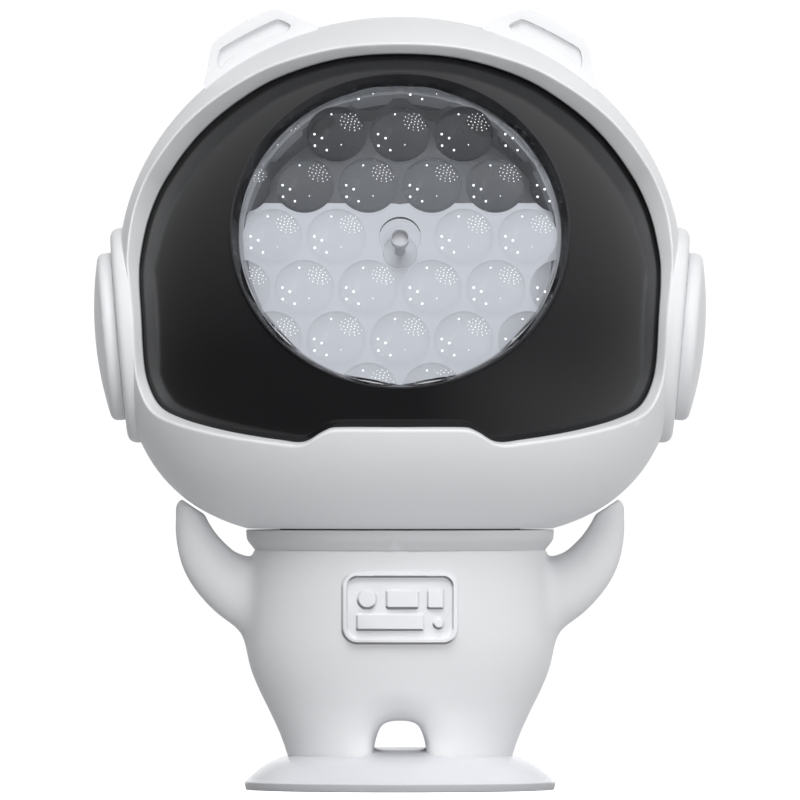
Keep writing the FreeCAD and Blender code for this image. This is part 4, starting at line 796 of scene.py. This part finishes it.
def stand_skin():
    """Torso, arms and legs as one soft moulded form in two halves, with its openings at the back."""
    rows = barrel_rows()
    points = [(width * math.cos(turn), depth * math.sin(turn), height) for width, depth, height in rows
              for turn in circle(192)]
    body = mesh_object("stand_skin", points, tube_faces(len(rows), 192))
    cut_with(body, arm_horn(1), arm_horn(-1), operation="UNION")
    cut_with(body, helmet_form("head room", -0.5), leg_arch())
    remesh = body.modifiers.new("even mesh", "REMESH")
    remesh.mode = "VOXEL"
    remesh.voxel_size = SKIN_MESH_SIZE * MM
    bake_modifiers(body)
    relaxed(body, 60)
    cutters = [rod_along_depth(WELL_RADIUS, 12.5, 60, side * x, z)
               for x, z in TORSO_WELLS for side in (-1, 1)]
    cutters += [rod_along_depth(BUTTON_HOLE_RADIUS, BUTTON_HOLE_FLOOR, 60, place * BUTTON_PITCH, BUTTON_LEVEL)
                for place in (-1, 0, 1)]
    pocket = round_outline(PANEL_WIDTH - 0.4, PANEL_HEIGHT - 0.4, PANEL_CORNER, PANEL_MIDDLE)
    inlet = round_outline(INLET_WIDTH, INLET_HEIGHT, 0.5, INLET_LEVEL)
    cutters += [prism_along_depth("inlet_hole", inlet, 21.0, 60),
                prism_along_depth("panel_pocket", pocket, -60, -29.5),
                prism_along_depth("seam", [(-80, -10), (80, -10), (80, 90), (-80, 90)], -0.07, 0.07)]
    cut_with(body, joined_pieces("cutters", cutters))
    tidy_normals(body, 38)
    return body


def round_rectangle(x, z, width, height, corner):
    """Distance outside a rounded rectangle, below zero within it."""
    across = np.abs(x) - width / 2 + corner
    rise = np.abs(z) - height / 2 + corner
    outside = np.hypot(np.maximum(across, 0), np.maximum(rise, 0))
    return outside + np.minimum(np.maximum(across, rise), 0) - corner


def soft_step(distance, width):
    """Rises from 0 to 1 over a width as the distance falls below zero, rounded at the top."""
    share = np.clip(-distance / width, 0, 1)
    return np.sqrt(1 - (1 - share) ** 2) * 0.6 + share * 0.4


def chest_relief():
    """Raised frame with a sunk floor and plain raised shapes, on the curve of the chest."""
    x, z = np.meshgrid(np.linspace(-PANEL_WIDTH / 2 - 0.5, PANEL_WIDTH / 2 + 0.5, 260),
                       np.linspace(-PANEL_HEIGHT / 2 - 0.5, PANEL_HEIGHT / 2 + 0.5, 168))
    outer = round_rectangle(x, z, PANEL_WIDTH, PANEL_HEIGHT, PANEL_CORNER)
    inner = round_rectangle(x, z, PANEL_WIDTH - 3.0, PANEL_HEIGHT - 3.0, PANEL_CORNER - 1.5)
    sunk = np.clip((0.15 - inner) / 0.5, 0, 1)
    height = -1.4 + 3.0 * soft_step(outer, 0.6) - 1.55 * sunk * sunk * (3 - 2 * sunk)
    for place_x, place_z, size in PANEL_ROUND_SHARES:
        disc = np.hypot(x - place_x * PANEL_WIDTH, z - place_z * PANEL_HEIGHT) - size / 2 * PANEL_WIDTH
        height += PANEL_SHAPE_RISE * soft_step(disc, 0.5)
    for place_x, place_z, width, tall in PANEL_BAR_SHARES:
        bar = round_rectangle(x - place_x * PANEL_WIDTH, z - place_z * PANEL_HEIGHT, width * PANEL_WIDTH,
                              tall * PANEL_HEIGHT, 0.75)
        height += PANEL_SHAPE_RISE * soft_step(bar, 0.5)
    level = PANEL_MIDDLE + z
    half_width, half_depth = barrel_size(level)

    def on_chest(lift):
        depth = -(half_depth + lift) * np.sqrt(1 - (x / (half_width + lift)) ** 2)
        return np.stack([x, depth, level], axis=-1).reshape(-1, 3)

    rows, columns = x.shape
    offset = rows * columns
    front = strip_faces(rows, columns, ring=False)
    back = [tuple(corner + offset for corner in face[::-1]) for face in front]
    grid = np.arange(offset).reshape(rows, columns)
    rim = np.concatenate([grid[0], grid[1:, -1], grid[-1, -2::-1], grid[-2:0:-1, 0]]).tolist()
    sides = [(here, there, there + offset, here + offset) for here, there in zip(rim, rim[1:] + rim[:1])]
    points = np.concatenate([on_chest(height), on_chest(-1.6)])
    return mesh_object("chest_relief", points, front + back + sides, sharp=60)


def collar_band():
    profile = rounded_profile([(30.0, COLLAR_FOOT, 0), (36.3, COLLAR_FOOT, 0.1), (38.3, 62.6, 0.8),
                               (38.5, COLLAR_TOP, 0.3), (34.5, COLLAR_TOP, 0.2), (34.5, 63.0, 0.2),
                               (30.0, 63.0, 0)])
    return lathe("collar_band", profile, None, 192)


def domed_base():
    dome = np.array(DOME_SHARES) * (BASE_RADIUS, BASE_TOP - BASE_EDGE) + (0, BASE_EDGE)
    line = smooth_line([(AXIS, BASE_TOP), *dome[::-1]], 7)
    rim = rounded_profile([(BASE_RADIUS, BASE_EDGE, 0), (BASE_RADIUS - 0.35, 0.12, 0.12), (36.06, 0.12, 0.1),
                           (36.06, 1.52, 0), (AXIS, 1.52, 0)])
    return lathe("domed_base", [tuple(point) for point in line[:-1]] + rim, None, 256)


def push_button(name, x):
    """Round key with a rounded edge and a shallow dish for the finger."""
    half_width, half_depth = barrel_size(BUTTON_LEVEL)
    tip = half_depth * math.sqrt(1 - (x / half_width) ** 2) + 1.3
    profile = rounded_profile([(AXIS, tip - 0.22, 0), (2.6, tip - 0.12, 0.8), (3.5, tip, 0.35),
                               (BUTTON_RADIUS, tip - 0.12, 0.45), (BUTTON_RADIUS, 24.7, 0.1),
                               (AXIS, 24.7, 0)])
    place = Matrix.Translation((x, 0, BUTTON_LEVEL)) @ Matrix.Rotation(math.radians(-90), 4, "X")
    return lathe(name, profile, place, 96)


# Shared surface effects

def new_effect(name, **inputs):
    """Node group with named inputs, whose kinds follow from their first values."""
    effect = bpy.data.node_groups.new(name, "ShaderNodeTree")
    for label, value in inputs.items():
        kind = {3: "Vector", 4: "Color"}[len(value)] if isinstance(value, tuple) else "Float"
        socket = effect.interface.new_socket(label, in_out="INPUT", socket_type="NodeSocket" + kind)
        socket.default_value = value
    return effect, effect.nodes.new("NodeGroupInput").outputs


def ended(effect, **results):
    """The group with its outputs, each named and fed."""
    for label, source in results.items():
        kind = {"VALUE": "Float", "VECTOR": "Vector", "RGBA": "Color"}[source.type]
        effect.interface.new_socket(label, in_out="OUTPUT", socket_type="NodeSocket" + kind)
    feed(effect.nodes.new("NodeGroupOutput"), results)
    return effect


def feed(node, inputs):
    """Gives a node its inputs: each is a plain value or the output that feeds it."""
    for name, value in inputs.items():
        if isinstance(value, bpy.types.NodeSocket):
            node.id_data.links.new(value, node.inputs[name])
        else:
            node.inputs[name].default_value = value


def add_node(tree, kind, inputs=None, **settings):
    """Outputs of a new node with its settings and inputs."""
    node = tree.nodes.new("ShaderNode" + kind)
    for name, value in settings.items():
        setattr(node, name, value)
    feed(node, inputs or {})
    return node.outputs


def maths(tree, operation, first, *others, clamp=False):
    """One operation over two values, or over more in turn. Only the last result is clamped."""
    for place, other in enumerate(others, 1):
        last = place == len(others)
        first = add_node(tree, "Math", {0: first, 1: other}, operation=operation, use_clamp=clamp and last)[0]
    return first


def spread_between(tree, value, low, high, start=0.0, end=1.0):
    inputs = {"Value": value, "From Min": low, "From Max": high, "To Min": start, "To Max": end}
    return add_node(tree, "MapRange", inputs)["Result"]


def brightened(tree, color, value):
    return add_node(tree, "HueSaturation", {"Color": color, "Value": value})["Color"]


def surface_place(tree, stretch=None, turn=(0, 0, 0)):
    place = add_node(tree, "TexCoord")["Object"]
    if stretch is None:
        return place
    return add_node(tree, "Mapping", {"Vector": place, "Scale": stretch, "Rotation": turn})["Vector"]


def noise(tree, place, scale, detail=2.0, rough=0.5):
    inputs = {"Vector": place, "Scale": scale, "Detail": detail, "Roughness": rough}
    return add_node(tree, "TexNoise", inputs)["Fac"]


def bump(tree, height, strength, distance, **below):
    """Normal of a raised pattern, over another Normal if one is given. The distance is in metres."""
    inputs = {"Height": height, "Strength": strength, "Distance": distance, **below}
    return add_node(tree, "Bump", inputs)["Normal"]


def mould_grain():
    """Fine pebbled grain of a moulded face, over a very faint waviness."""
    tree, given = new_effect("mould_grain", Size=2600.0, Depth=0.3, Waviness=0.2)
    place = surface_place(tree)
    fine = noise(tree, place, given["Size"], 3.0, 0.6)
    cells = add_node(tree, "TexVoronoi", {"Vector": place, "Scale": given["Size"]}, feature="SMOOTH_F1")
    height = maths(tree, "ADD", fine, maths(tree, "MULTIPLY", cells["Distance"], 0.5))
    grain = bump(tree, height, given["Depth"], 0.00005)
    waves = noise(tree, place, 70.0, 1.0)
    return ended(tree, Normal=bump(tree, waves, given["Waviness"], 0.0004, Normal=grain))


def handled_tone():
    """Slow drift of tone, lighter worn edges and a little grime in the corners."""
    tree, given = new_effect("handled_tone", Color=(0.8, 0.8, 0.8, 1), Drift=0.04, Edges=0.1, Grime=0.15)
    place = surface_place(tree)
    slow = maths(tree, "SUBTRACT", noise(tree, place, 26.0, 3.0), 0.5)
    corner = add_node(tree, "NewGeometry")["Pointiness"]
    edge = maths(tree, "MULTIPLY", spread_between(tree, corner, 0.53, 0.62), given["Edges"])
    value = maths(tree, "ADD", maths(tree, "MULTIPLY", slow, given["Drift"]), edge, 1.0)
    spots = spread_between(tree, noise(tree, place, 160.0, 4.0, 0.65), 0.35, 0.75)
    hollow = spread_between(tree, corner, 0.47, 0.4)
    grime = maths(tree, "MULTIPLY", hollow, given["Grime"], spots, clamp=True)
    toned = brightened(tree, given["Color"], value)
    mixed = add_node(tree, "Mix", {0: grime, 6: toned, 7: (0.16, 0.15, 0.14, 1)}, data_type="RGBA")
    return ended(tree, Color=mixed[2])


def handled_sheen():
    """Roughness with soft smudges and fine speckle."""
    tree, given = new_effect("handled_sheen", Roughness=0.4, Smudges=0.1)
    place = surface_place(tree)
    smudge = maths(tree, "SUBTRACT", noise(tree, place, 48.0, 4.0, 0.6), 0.5)
    speckle = maths(tree, "MULTIPLY", maths(tree, "SUBTRACT", noise(tree, place, 900.0, 2.0), 0.5), 0.5)
    change = maths(tree, "MULTIPLY", maths(tree, "ADD", smudge, speckle), given["Smudges"])
    return ended(tree, Roughness=maths(tree, "ADD", given["Roughness"], change, clamp=True))


def hairlines():
    """Sparse fine scratches in two directions."""
    tree, given = new_effect("hairlines", Size=90.0, Amount=0.5)
    masks = []
    for turn in ((0.3, 0.5, 0.7), (1.1, -0.6, 2.1)):
        lines = noise(tree, surface_place(tree, (1.0, 1.0, 26.0), turn), given["Size"], 2.0, 0.4)
        patches = spread_between(tree, noise(tree, surface_place(tree), 30.0, 1.0), 0.5, 0.62)
        masks.append(maths(tree, "MULTIPLY", spread_between(tree, lines, 0.7, 0.76), patches))
    both = maths(tree, "MAXIMUM", *masks)
    return ended(tree, Mask=maths(tree, "MULTIPLY", both, given["Amount"], clamp=True))


def brushed_lines():
    """Long fine lines along one direction, for metal."""
    tree, given = new_effect("brushed_lines", Size=700.0, Depth=0.2)
    lines = noise(tree, surface_place(tree, (1.0, 1.0, 14.0), (0.2, 0.4, 0.0)), given["Size"], 3.0, 0.6)
    return ended(tree, Normal=bump(tree, lines, given["Depth"], 0.00004),
                 Shade=spread_between(tree, lines, 0.3, 0.7, 0.9, 1.1))


def painted_facing_shade():
    """Painted shade: darker tone on faces turned towards a way, or with Both also away from it."""
    tree, given = new_effect("painted_facing_shade", Color=(0.8, 0.8, 0.8, 1), Way=(0, 0, -1), Low=0.3, High=0.8,
                             Both=0.0, Amount=0.4)
    inputs = {0: add_node(tree, "TexCoord")["Normal"], 1: given["Way"]}
    turned = add_node(tree, "VectorMath", inputs, operation="DOT_PRODUCT")["Value"]
    turned = maths(tree, "MAXIMUM", turned, maths(tree, "MULTIPLY", turned, -1.0, given["Both"]))
    mask = spread_between(tree, turned, given["Low"], given["High"])
    value = maths(tree, "SUBTRACT", 1.0, maths(tree, "MULTIPLY", mask, given["Amount"]))
    return ended(tree, Color=brightened(tree, given["Color"], value))


def use_effect(tree, effect, **values):
    return add_node(tree, "Group", values, node_tree=effect)


def new_finish(name, **sockets):
    """New material, kept in FINISHES, with its own shader and the shader's plain values."""
    material = FINISHES[name] = bpy.data.materials.new(name)
    material.use_nodes = True
    shader = material.node_tree.nodes["Principled BSDF"]
    for label, value in sockets.items():
        shader.inputs[label.replace("_", " ")].default_value = value
    return material.node_tree, shader


def moulded(name, color, rough, drift=0.04, edges=0.1, grime=0.15, smudges=0.1, size=2600.0, depth=0.3,
            waviness=0.2, scratches=0.0, turned=None, **sockets):
    """Moulded plastic or rubber with grain, drift of tone and handled sheen."""
    tree, shader = new_finish(name, **sockets)
    tone = use_effect(tree, TONE, Color=(*color, 1), Drift=drift, Edges=edges, Grime=grime)["Color"]
    # Optional painted shade: darker tone on faces turned towards a given way
    if turned:
        tone = use_effect(tree, PAINTED_FACING_SHADE, Color=tone, **turned)["Color"]
    sheen = use_effect(tree, SHEEN, Roughness=rough, Smudges=smudges)["Roughness"]
    if scratches:
        sheen = maths(tree, "ADD", sheen, use_effect(tree, LINES, Amount=scratches)["Mask"], clamp=True)
    grain = use_effect(tree, GRAIN, Size=size, Depth=depth, Waviness=waviness)["Normal"]
    feed(shader, {"Base Color": tone, "Roughness": sheen, "Normal": grain})


def metal(name, color, rough):
    tree, shader = new_finish(name, Metallic=1.0)
    brushed = use_effect(tree, BRUSHED, Depth=0.25)
    feed(shader, {"Base Color": brightened(tree, (*color, 1), brushed["Shade"]), "Normal": brushed["Normal"],
                  "Roughness": use_effect(tree, SHEEN, Roughness=rough, Smudges=0.16)["Roughness"]})


def clear_plastic():
    """Clear moulding that lets light through to what lies behind it, its colour painted darker where it is
    seen at a slant, a painted shade on the bubbles' rims.
    """
    tree, shader = new_finish("clear_bubble_plastic", Transmission_Weight=1.0, IOR=1.42)
    tone = use_effect(tree, TONE, Color=(0.97, 0.98, 1.0, 1), Drift=0.01, Edges=0.0, Grime=0.04)["Color"]
    # Painted shade: base colour darker at grazing angles
    painted_rim_shade = add_node(tree, "LayerWeight", {"Blend": 0.5})["Facing"]
    feed(shader, {"Base Color": brightened(tree, tone, spread_between(tree, painted_rim_shade, 0.12, 0.5, 1.0, 0.72)),
                  "Roughness": use_effect(tree, SHEEN, Roughness=0.05, Smudges=0.05)["Roughness"],
                  "Normal": use_effect(tree, GRAIN, Size=300.0, Depth=0.05, Waviness=0.1)["Normal"]})
    path = add_node(tree, "LightPath")
    open_way = add_node(tree, "BsdfTransparent", {"Color": (0.93, 0.94, 0.95, 1)})[0]
    through = maths(tree, "MAXIMUM", path["Is Shadow Ray"], path["Is Diffuse Ray"])
    mixed = add_node(tree, "MixShader", {0: through, 1: shader.outputs[0], 2: open_way})[0]
    feed(tree.nodes["Material Output"], {"Surface": mixed})


# Effects and finishes, each made once
GRAIN, TONE, SHEEN = mould_grain(), handled_tone(), handled_sheen()
LINES, BRUSHED, PAINTED_FACING_SHADE = hairlines(), brushed_lines(), painted_facing_shade()
FINISHES = {}

moulded("helmet_white", (0.775, 0.785, 0.8), 0.42, smudges=0.12, size=3000.0, depth=0.35)
moulded("stand_white", (0.76, 0.765, 0.78), 0.46, smudges=0.12)
# Fin sides painted darker than the front and back, a painted shade
moulded("fin_white", (0.80, 0.805, 0.82), 0.42, smudges=0.12, size=3000.0, depth=0.35, edges=0.0,
        turned={"Way": (0, 1, 0), "Low": 0.93, "High": 0.4, "Both": 1.0, "Amount": 0.22})
# Painted shadow: relief faces turned down and towards -X are darker, as if lit from above on the +X side
moulded("panel_white", (0.83, 0.835, 0.86), 0.42, smudges=0.12,
        turned={"Way": (-0.35, 0, -0.94), "Low": 0.2, "High": 0.6, "Amount": 0.75})
# Painted shade: faces of the base that are not turned upwards, such as its rim, are darker
moulded("base_gloss_white", (0.69, 0.695, 0.73), 0.16, depth=0.08, waviness=0.3, scratches=0.12,
        turned={"Way": (0, 0, 1), "Low": 0.3, "High": 0.05, "Amount": 0.34})
# Same white plastic as the stand, painted darker as a painted shade for the helmet's shadow over the collar
moulded("collar_white_painted_shade", (0.63, 0.635, 0.65), 0.46, smudges=0.12)
moulded("visor_gloss_black", (0.007, 0.007, 0.008), 0.17, drift=0.2, edges=0.4, grime=0.0, smudges=0.03,
        depth=0.01, waviness=0.12, scratches=0.06, Specular_IOR_Level=0.4)
moulded("bezel_black", (0.012, 0.012, 0.014), 0.2, drift=0.2, grime=0.0, depth=0.08, scratches=0.08)
clear_plastic()
# Glowing white for the painted glints on the bubbles, which stand in for reflections of lamps
moulded("painted_glint_glow", (0.95, 0.96, 0.98), 0.25, depth=0.05, Emission_Color=(0.9, 0.94, 1, 1),
        Emission_Strength=0.9)
moulded("diffuser_frost", (0.52, 0.527, 0.555), 0.55, size=1800.0, depth=0.25, grime=0.05)
moulded("housing_grey", (0.115, 0.119, 0.127), 0.5, depth=0.4)
moulded("pale_grey", (0.27, 0.275, 0.29), 0.5)
moulded("key_grey", (0.42, 0.43, 0.45), 0.5, size=2200.0, depth=0.35)
moulded("gear_white", (0.74, 0.74, 0.7), 0.42, depth=0.12)
metal("zinc_steel", (0.62, 0.62, 0.63), 0.3)
metal("milled_aluminium", (0.76, 0.77, 0.78), 0.34)
metal("oiled_bronze", (0.62, 0.42, 0.22), 0.36)
moulded("board_green", (0.02, 0.13, 0.07), 0.32, drift=0.2, depth=0.2, size=900.0)
moulded("board_grey", (0.11, 0.114, 0.122), 0.4, drift=0.2, depth=0.2, size=900.0)
moulded("switch_black", (0.02, 0.02, 0.022), 0.45)
moulded("emitter_cream", (0.85, 0.8, 0.55), 0.3, depth=0.05)
moulded("foot_rubber", (0.03, 0.03, 0.032), 0.75, size=1500.0, depth=0.6, smudges=0.15)
moulded("lead_black", (0.025, 0.025, 0.027), 0.5, size=2000.0)

# Carried-over pieces of the model and the finish of each
KEPT = {
    "foot_rubber": "foot_pad",
    "zinc_steel": "ballast_plate base_screws torso_screws collar_screws stop_pin board_screws power_socket"
                  " neck_screws helmet_screws motor motor_screws motor_shaft",
    "pale_grey": "thrust_washer neck_tube neck_retainer retainer_ring motor_bracket",
    "housing_grey": "lamp_housing",
    "board_grey": "led_board",
    "diffuser_frost": "light_diffuser",
    "board_green": "control_board",
    "switch_black": "tact_switches",
    "emitter_cream": "led_emitters",
    "milled_aluminium": "heat_sink",
    "oiled_bronze": "spindle_bush",
    "gear_white": "drive_gear pinion",
    "lead_black": "stand_lead head_lead",
}
for finish, nodes in KEPT.items():
    for node in nodes.split():
        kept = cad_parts[node]
        if not kept.material_slots:
            kept.data.materials.append(FINISHES[finish])
        for held in kept.material_slots:
            held.material = FINISHES[finish]

# Head
finish_piece(helmet_front_shell(), "head", "helmet_white", "shell_white", "helmet_front")
finish_piece(helmet_rear_shell(), "head", "helmet_white", "shell_white", "helmet_rear")
finish_piece(visor_shield(), "head", "visor_gloss_black", "visor_black", "visor")
finish_piece(lens_bezel_ring(), "head", "bezel_black", "bezel_black", "lens_bezel")
for side, name in SIDES.items():
    finish_piece(ear_ring(side), "head", "helmet_white", "shell_white", name + "_ear_pad")
    finish_piece(ear_dome(side), "head", "helmet_white", "shell_white", name + "_ear_cap")
    finish_piece(crown_fin(side), "head", "fin_white", "shell_white", name + "_fin")

# Turning lens
finish_piece(bubble_lens(), "lens_rotor", "clear_bubble_plastic", "clear_lens", "lens_disc")
# Painted glints on the bubbles, glowing points for reflections of lamps
finish_piece(painted_glint_points(), "lens_rotor", "painted_glint_glow", "clear_lens")
finish_piece(hub_spindle(), "lens_rotor", "diffuser_frost", "pale_grey", "lens_spindle")

# Stand
finish_piece(stand_skin(), "stand", "stand_white", "shell_white", "torso_front", "torso_rear")
finish_piece(chest_relief(), "stand", "panel_white", "shell_white", "chest_panel")
finish_piece(collar_band(), "stand", "collar_white_painted_shade", "shell_white", "collar_ring")
finish_piece(domed_base(), "stand", "base_gloss_white", "base_white", "base_plate")
for key, x in (("power", -BUTTON_PITCH), ("mode", 0.0), ("timer", BUTTON_PITCH)):
    cap = push_button(key + "_button_cap", x)
    finish_piece(cap, key + "_key", "key_grey", "button_grey", key + "_button")


# Floor, light and camera

def fading_floor():
    """Pale floor that fades into the white of the studio away from the object."""
    rings = [0.5] + list(np.linspace(50, 1400, 28))
    columns = 96
    points = [(radius * math.cos(turn), radius * math.sin(turn), 0)
              for radius in rings for turn in circle(columns)]
    faces = strip_faces(len(rings), columns) + [row_face(0, columns, True)]
    floor = mesh_object("studio_floor", points, faces)
    tree, shader = new_finish("studio_floor", Roughness=0.55, Specular_IOR_Level=0.2,
                              Emission_Color=(1, 1, 1, 1))
    path = add_node(tree, "LightPath")
    seen = path["Is Camera Ray"]
    tone = spread_between(tree, noise(tree, surface_place(tree), 9.0), 0.3, 0.7, 0.985, 1.0)
    value = maths(tree, "MULTIPLY", tone, spread_between(tree, seen, 0, 1, 0.6, 1.0))
    away = add_node(tree, "VectorMath", {0: surface_place(tree)}, operation="LENGTH")["Value"]
    hidden = maths(tree, "MAXIMUM", seen, path["Is Glossy Ray"])
    far_fade = maths(tree, "MULTIPLY", spread_between(tree, away, 0.8, 1.35, 1.0, 0.0),
                     spread_between(tree, hidden, 0, 1, 1.0, 0.0))
    near_fade = spread_between(tree, away, 0.045, 0.17, 1.0, 0.0)
    feed(shader, {"Base Color": brightened(tree, (0.9, 0.9, 0.91, 1), value),
                  "Emission Strength": seen, "Alpha": maths(tree, "MAXIMUM", near_fade, far_fade)})
    floor.data.materials.append(FINISHES["studio_floor"])


def soft_light(name, place, power, size, tall=None, glossy=False):
    """Rectangular light that faces the middle of the object, in metres and watts."""
    lamp = bpy.data.lights.new(name, "AREA")
    lamp.shape = "RECTANGLE"
    lamp.size = size
    lamp.size_y = tall or size
    lamp.energy = power
    light = new_object(name, lamp)
    light.location = place
    light.rotation_euler = (Vector((0, 0, 0.1)) - Vector(place)).to_track_quat("-Z", "Y").to_euler()
    light.visible_glossy = glossy
    light.visible_transmission = False


def studio():
    """White behind the object, a dim fill, a graded sky for what gleams, and the lights."""
    world = bpy.data.worlds.new("studio")
    bpy.context.scene.world = world
    world.use_nodes = True
    tree = world.node_tree
    tree.nodes.clear()
    seen = add_node(tree, "Background", {"Color": (1, 1, 1, 1), "Strength": 1.05})[0]
    fill = add_node(tree, "Background", {"Color": (0.97, 0.985, 1, 1), "Strength": 0.06})[0]
    way = add_node(tree, "SeparateXYZ", {0: add_node(tree, "TexCoord")["Generated"]})
    above = spread_between(tree, way["Z"], -0.15, 0.8, 0.16, 0.8)
    low_right = maths(tree, "MULTIPLY", spread_between(tree, way["X"], 0.2, 0.8),
                      spread_between(tree, way["Z"], 0.0, -0.4, 0.0, 0.35))
    beside = maths(tree, "ADD", spread_between(tree, way["X"], 0.1, 0.9, 0.0, 0.3), low_right)
    behind = spread_between(tree, way["Y"], 0.82, 0.99, 0.0, 0.8)
    strength = maths(tree, "ADD", above, beside, behind)
    shine = add_node(tree, "Background", {"Color": (0.98, 0.99, 1, 1), "Strength": strength})[0]
    path = add_node(tree, "LightPath")
    unseen = add_node(tree, "MixShader", {0: path["Is Glossy Ray"], 1: fill, 2: shine})[0]
    mixed = add_node(tree, "MixShader", {0: path["Is Camera Ray"], 1: unseen, 2: seen})[0]
    feed(tree.nodes.new("ShaderNodeOutputWorld"), {"Surface": mixed})
    soft_light("top_front", (0.0, -1.2, 1.3), 18.6, 0.9)
    soft_light("front", (0.4, -1.95, 0.35), 13.2, 0.7)
    soft_light("left_high", (-1.2, -1.1, 1.2), 4.6, 0.8)
    soft_light("right_side", (1.8, -0.1, 0.5), 9.5, 0.8)
    soft_light("right_back", (1.2, 1.0, 1.1), 5.0, 0.8)
    soft_light("left_back", (-1.2, 1.0, 1.1), 6.0, 0.8)
    soft_light("back", (0.3, 1.9, 0.7), 7.0, 0.7)
    soft_light("gleam", (-0.9, -1.6, 1.5), 0.6, 0.4, 0.9, glossy=True)
    bpy.context.scene.view_settings.view_transform = "Standard"


def photo_camera():
    """Long lens from far in front that frames 0.2 m, level with the object's middle."""
    camera = bpy.data.cameras.new("camera")
    camera.lens = 1000
    camera.sensor_width = 36
    camera.clip_start = 0.1
    camera.clip_end = 100
    view = new_object("camera", camera)
    view.location = (0, -0.2 * camera.lens / camera.sensor_width, 0.0975)
    view.rotation_euler = (math.pi / 2, 0, 0)
    bpy.context.scene.camera = view


fading_floor()
studio()
photo_camera()
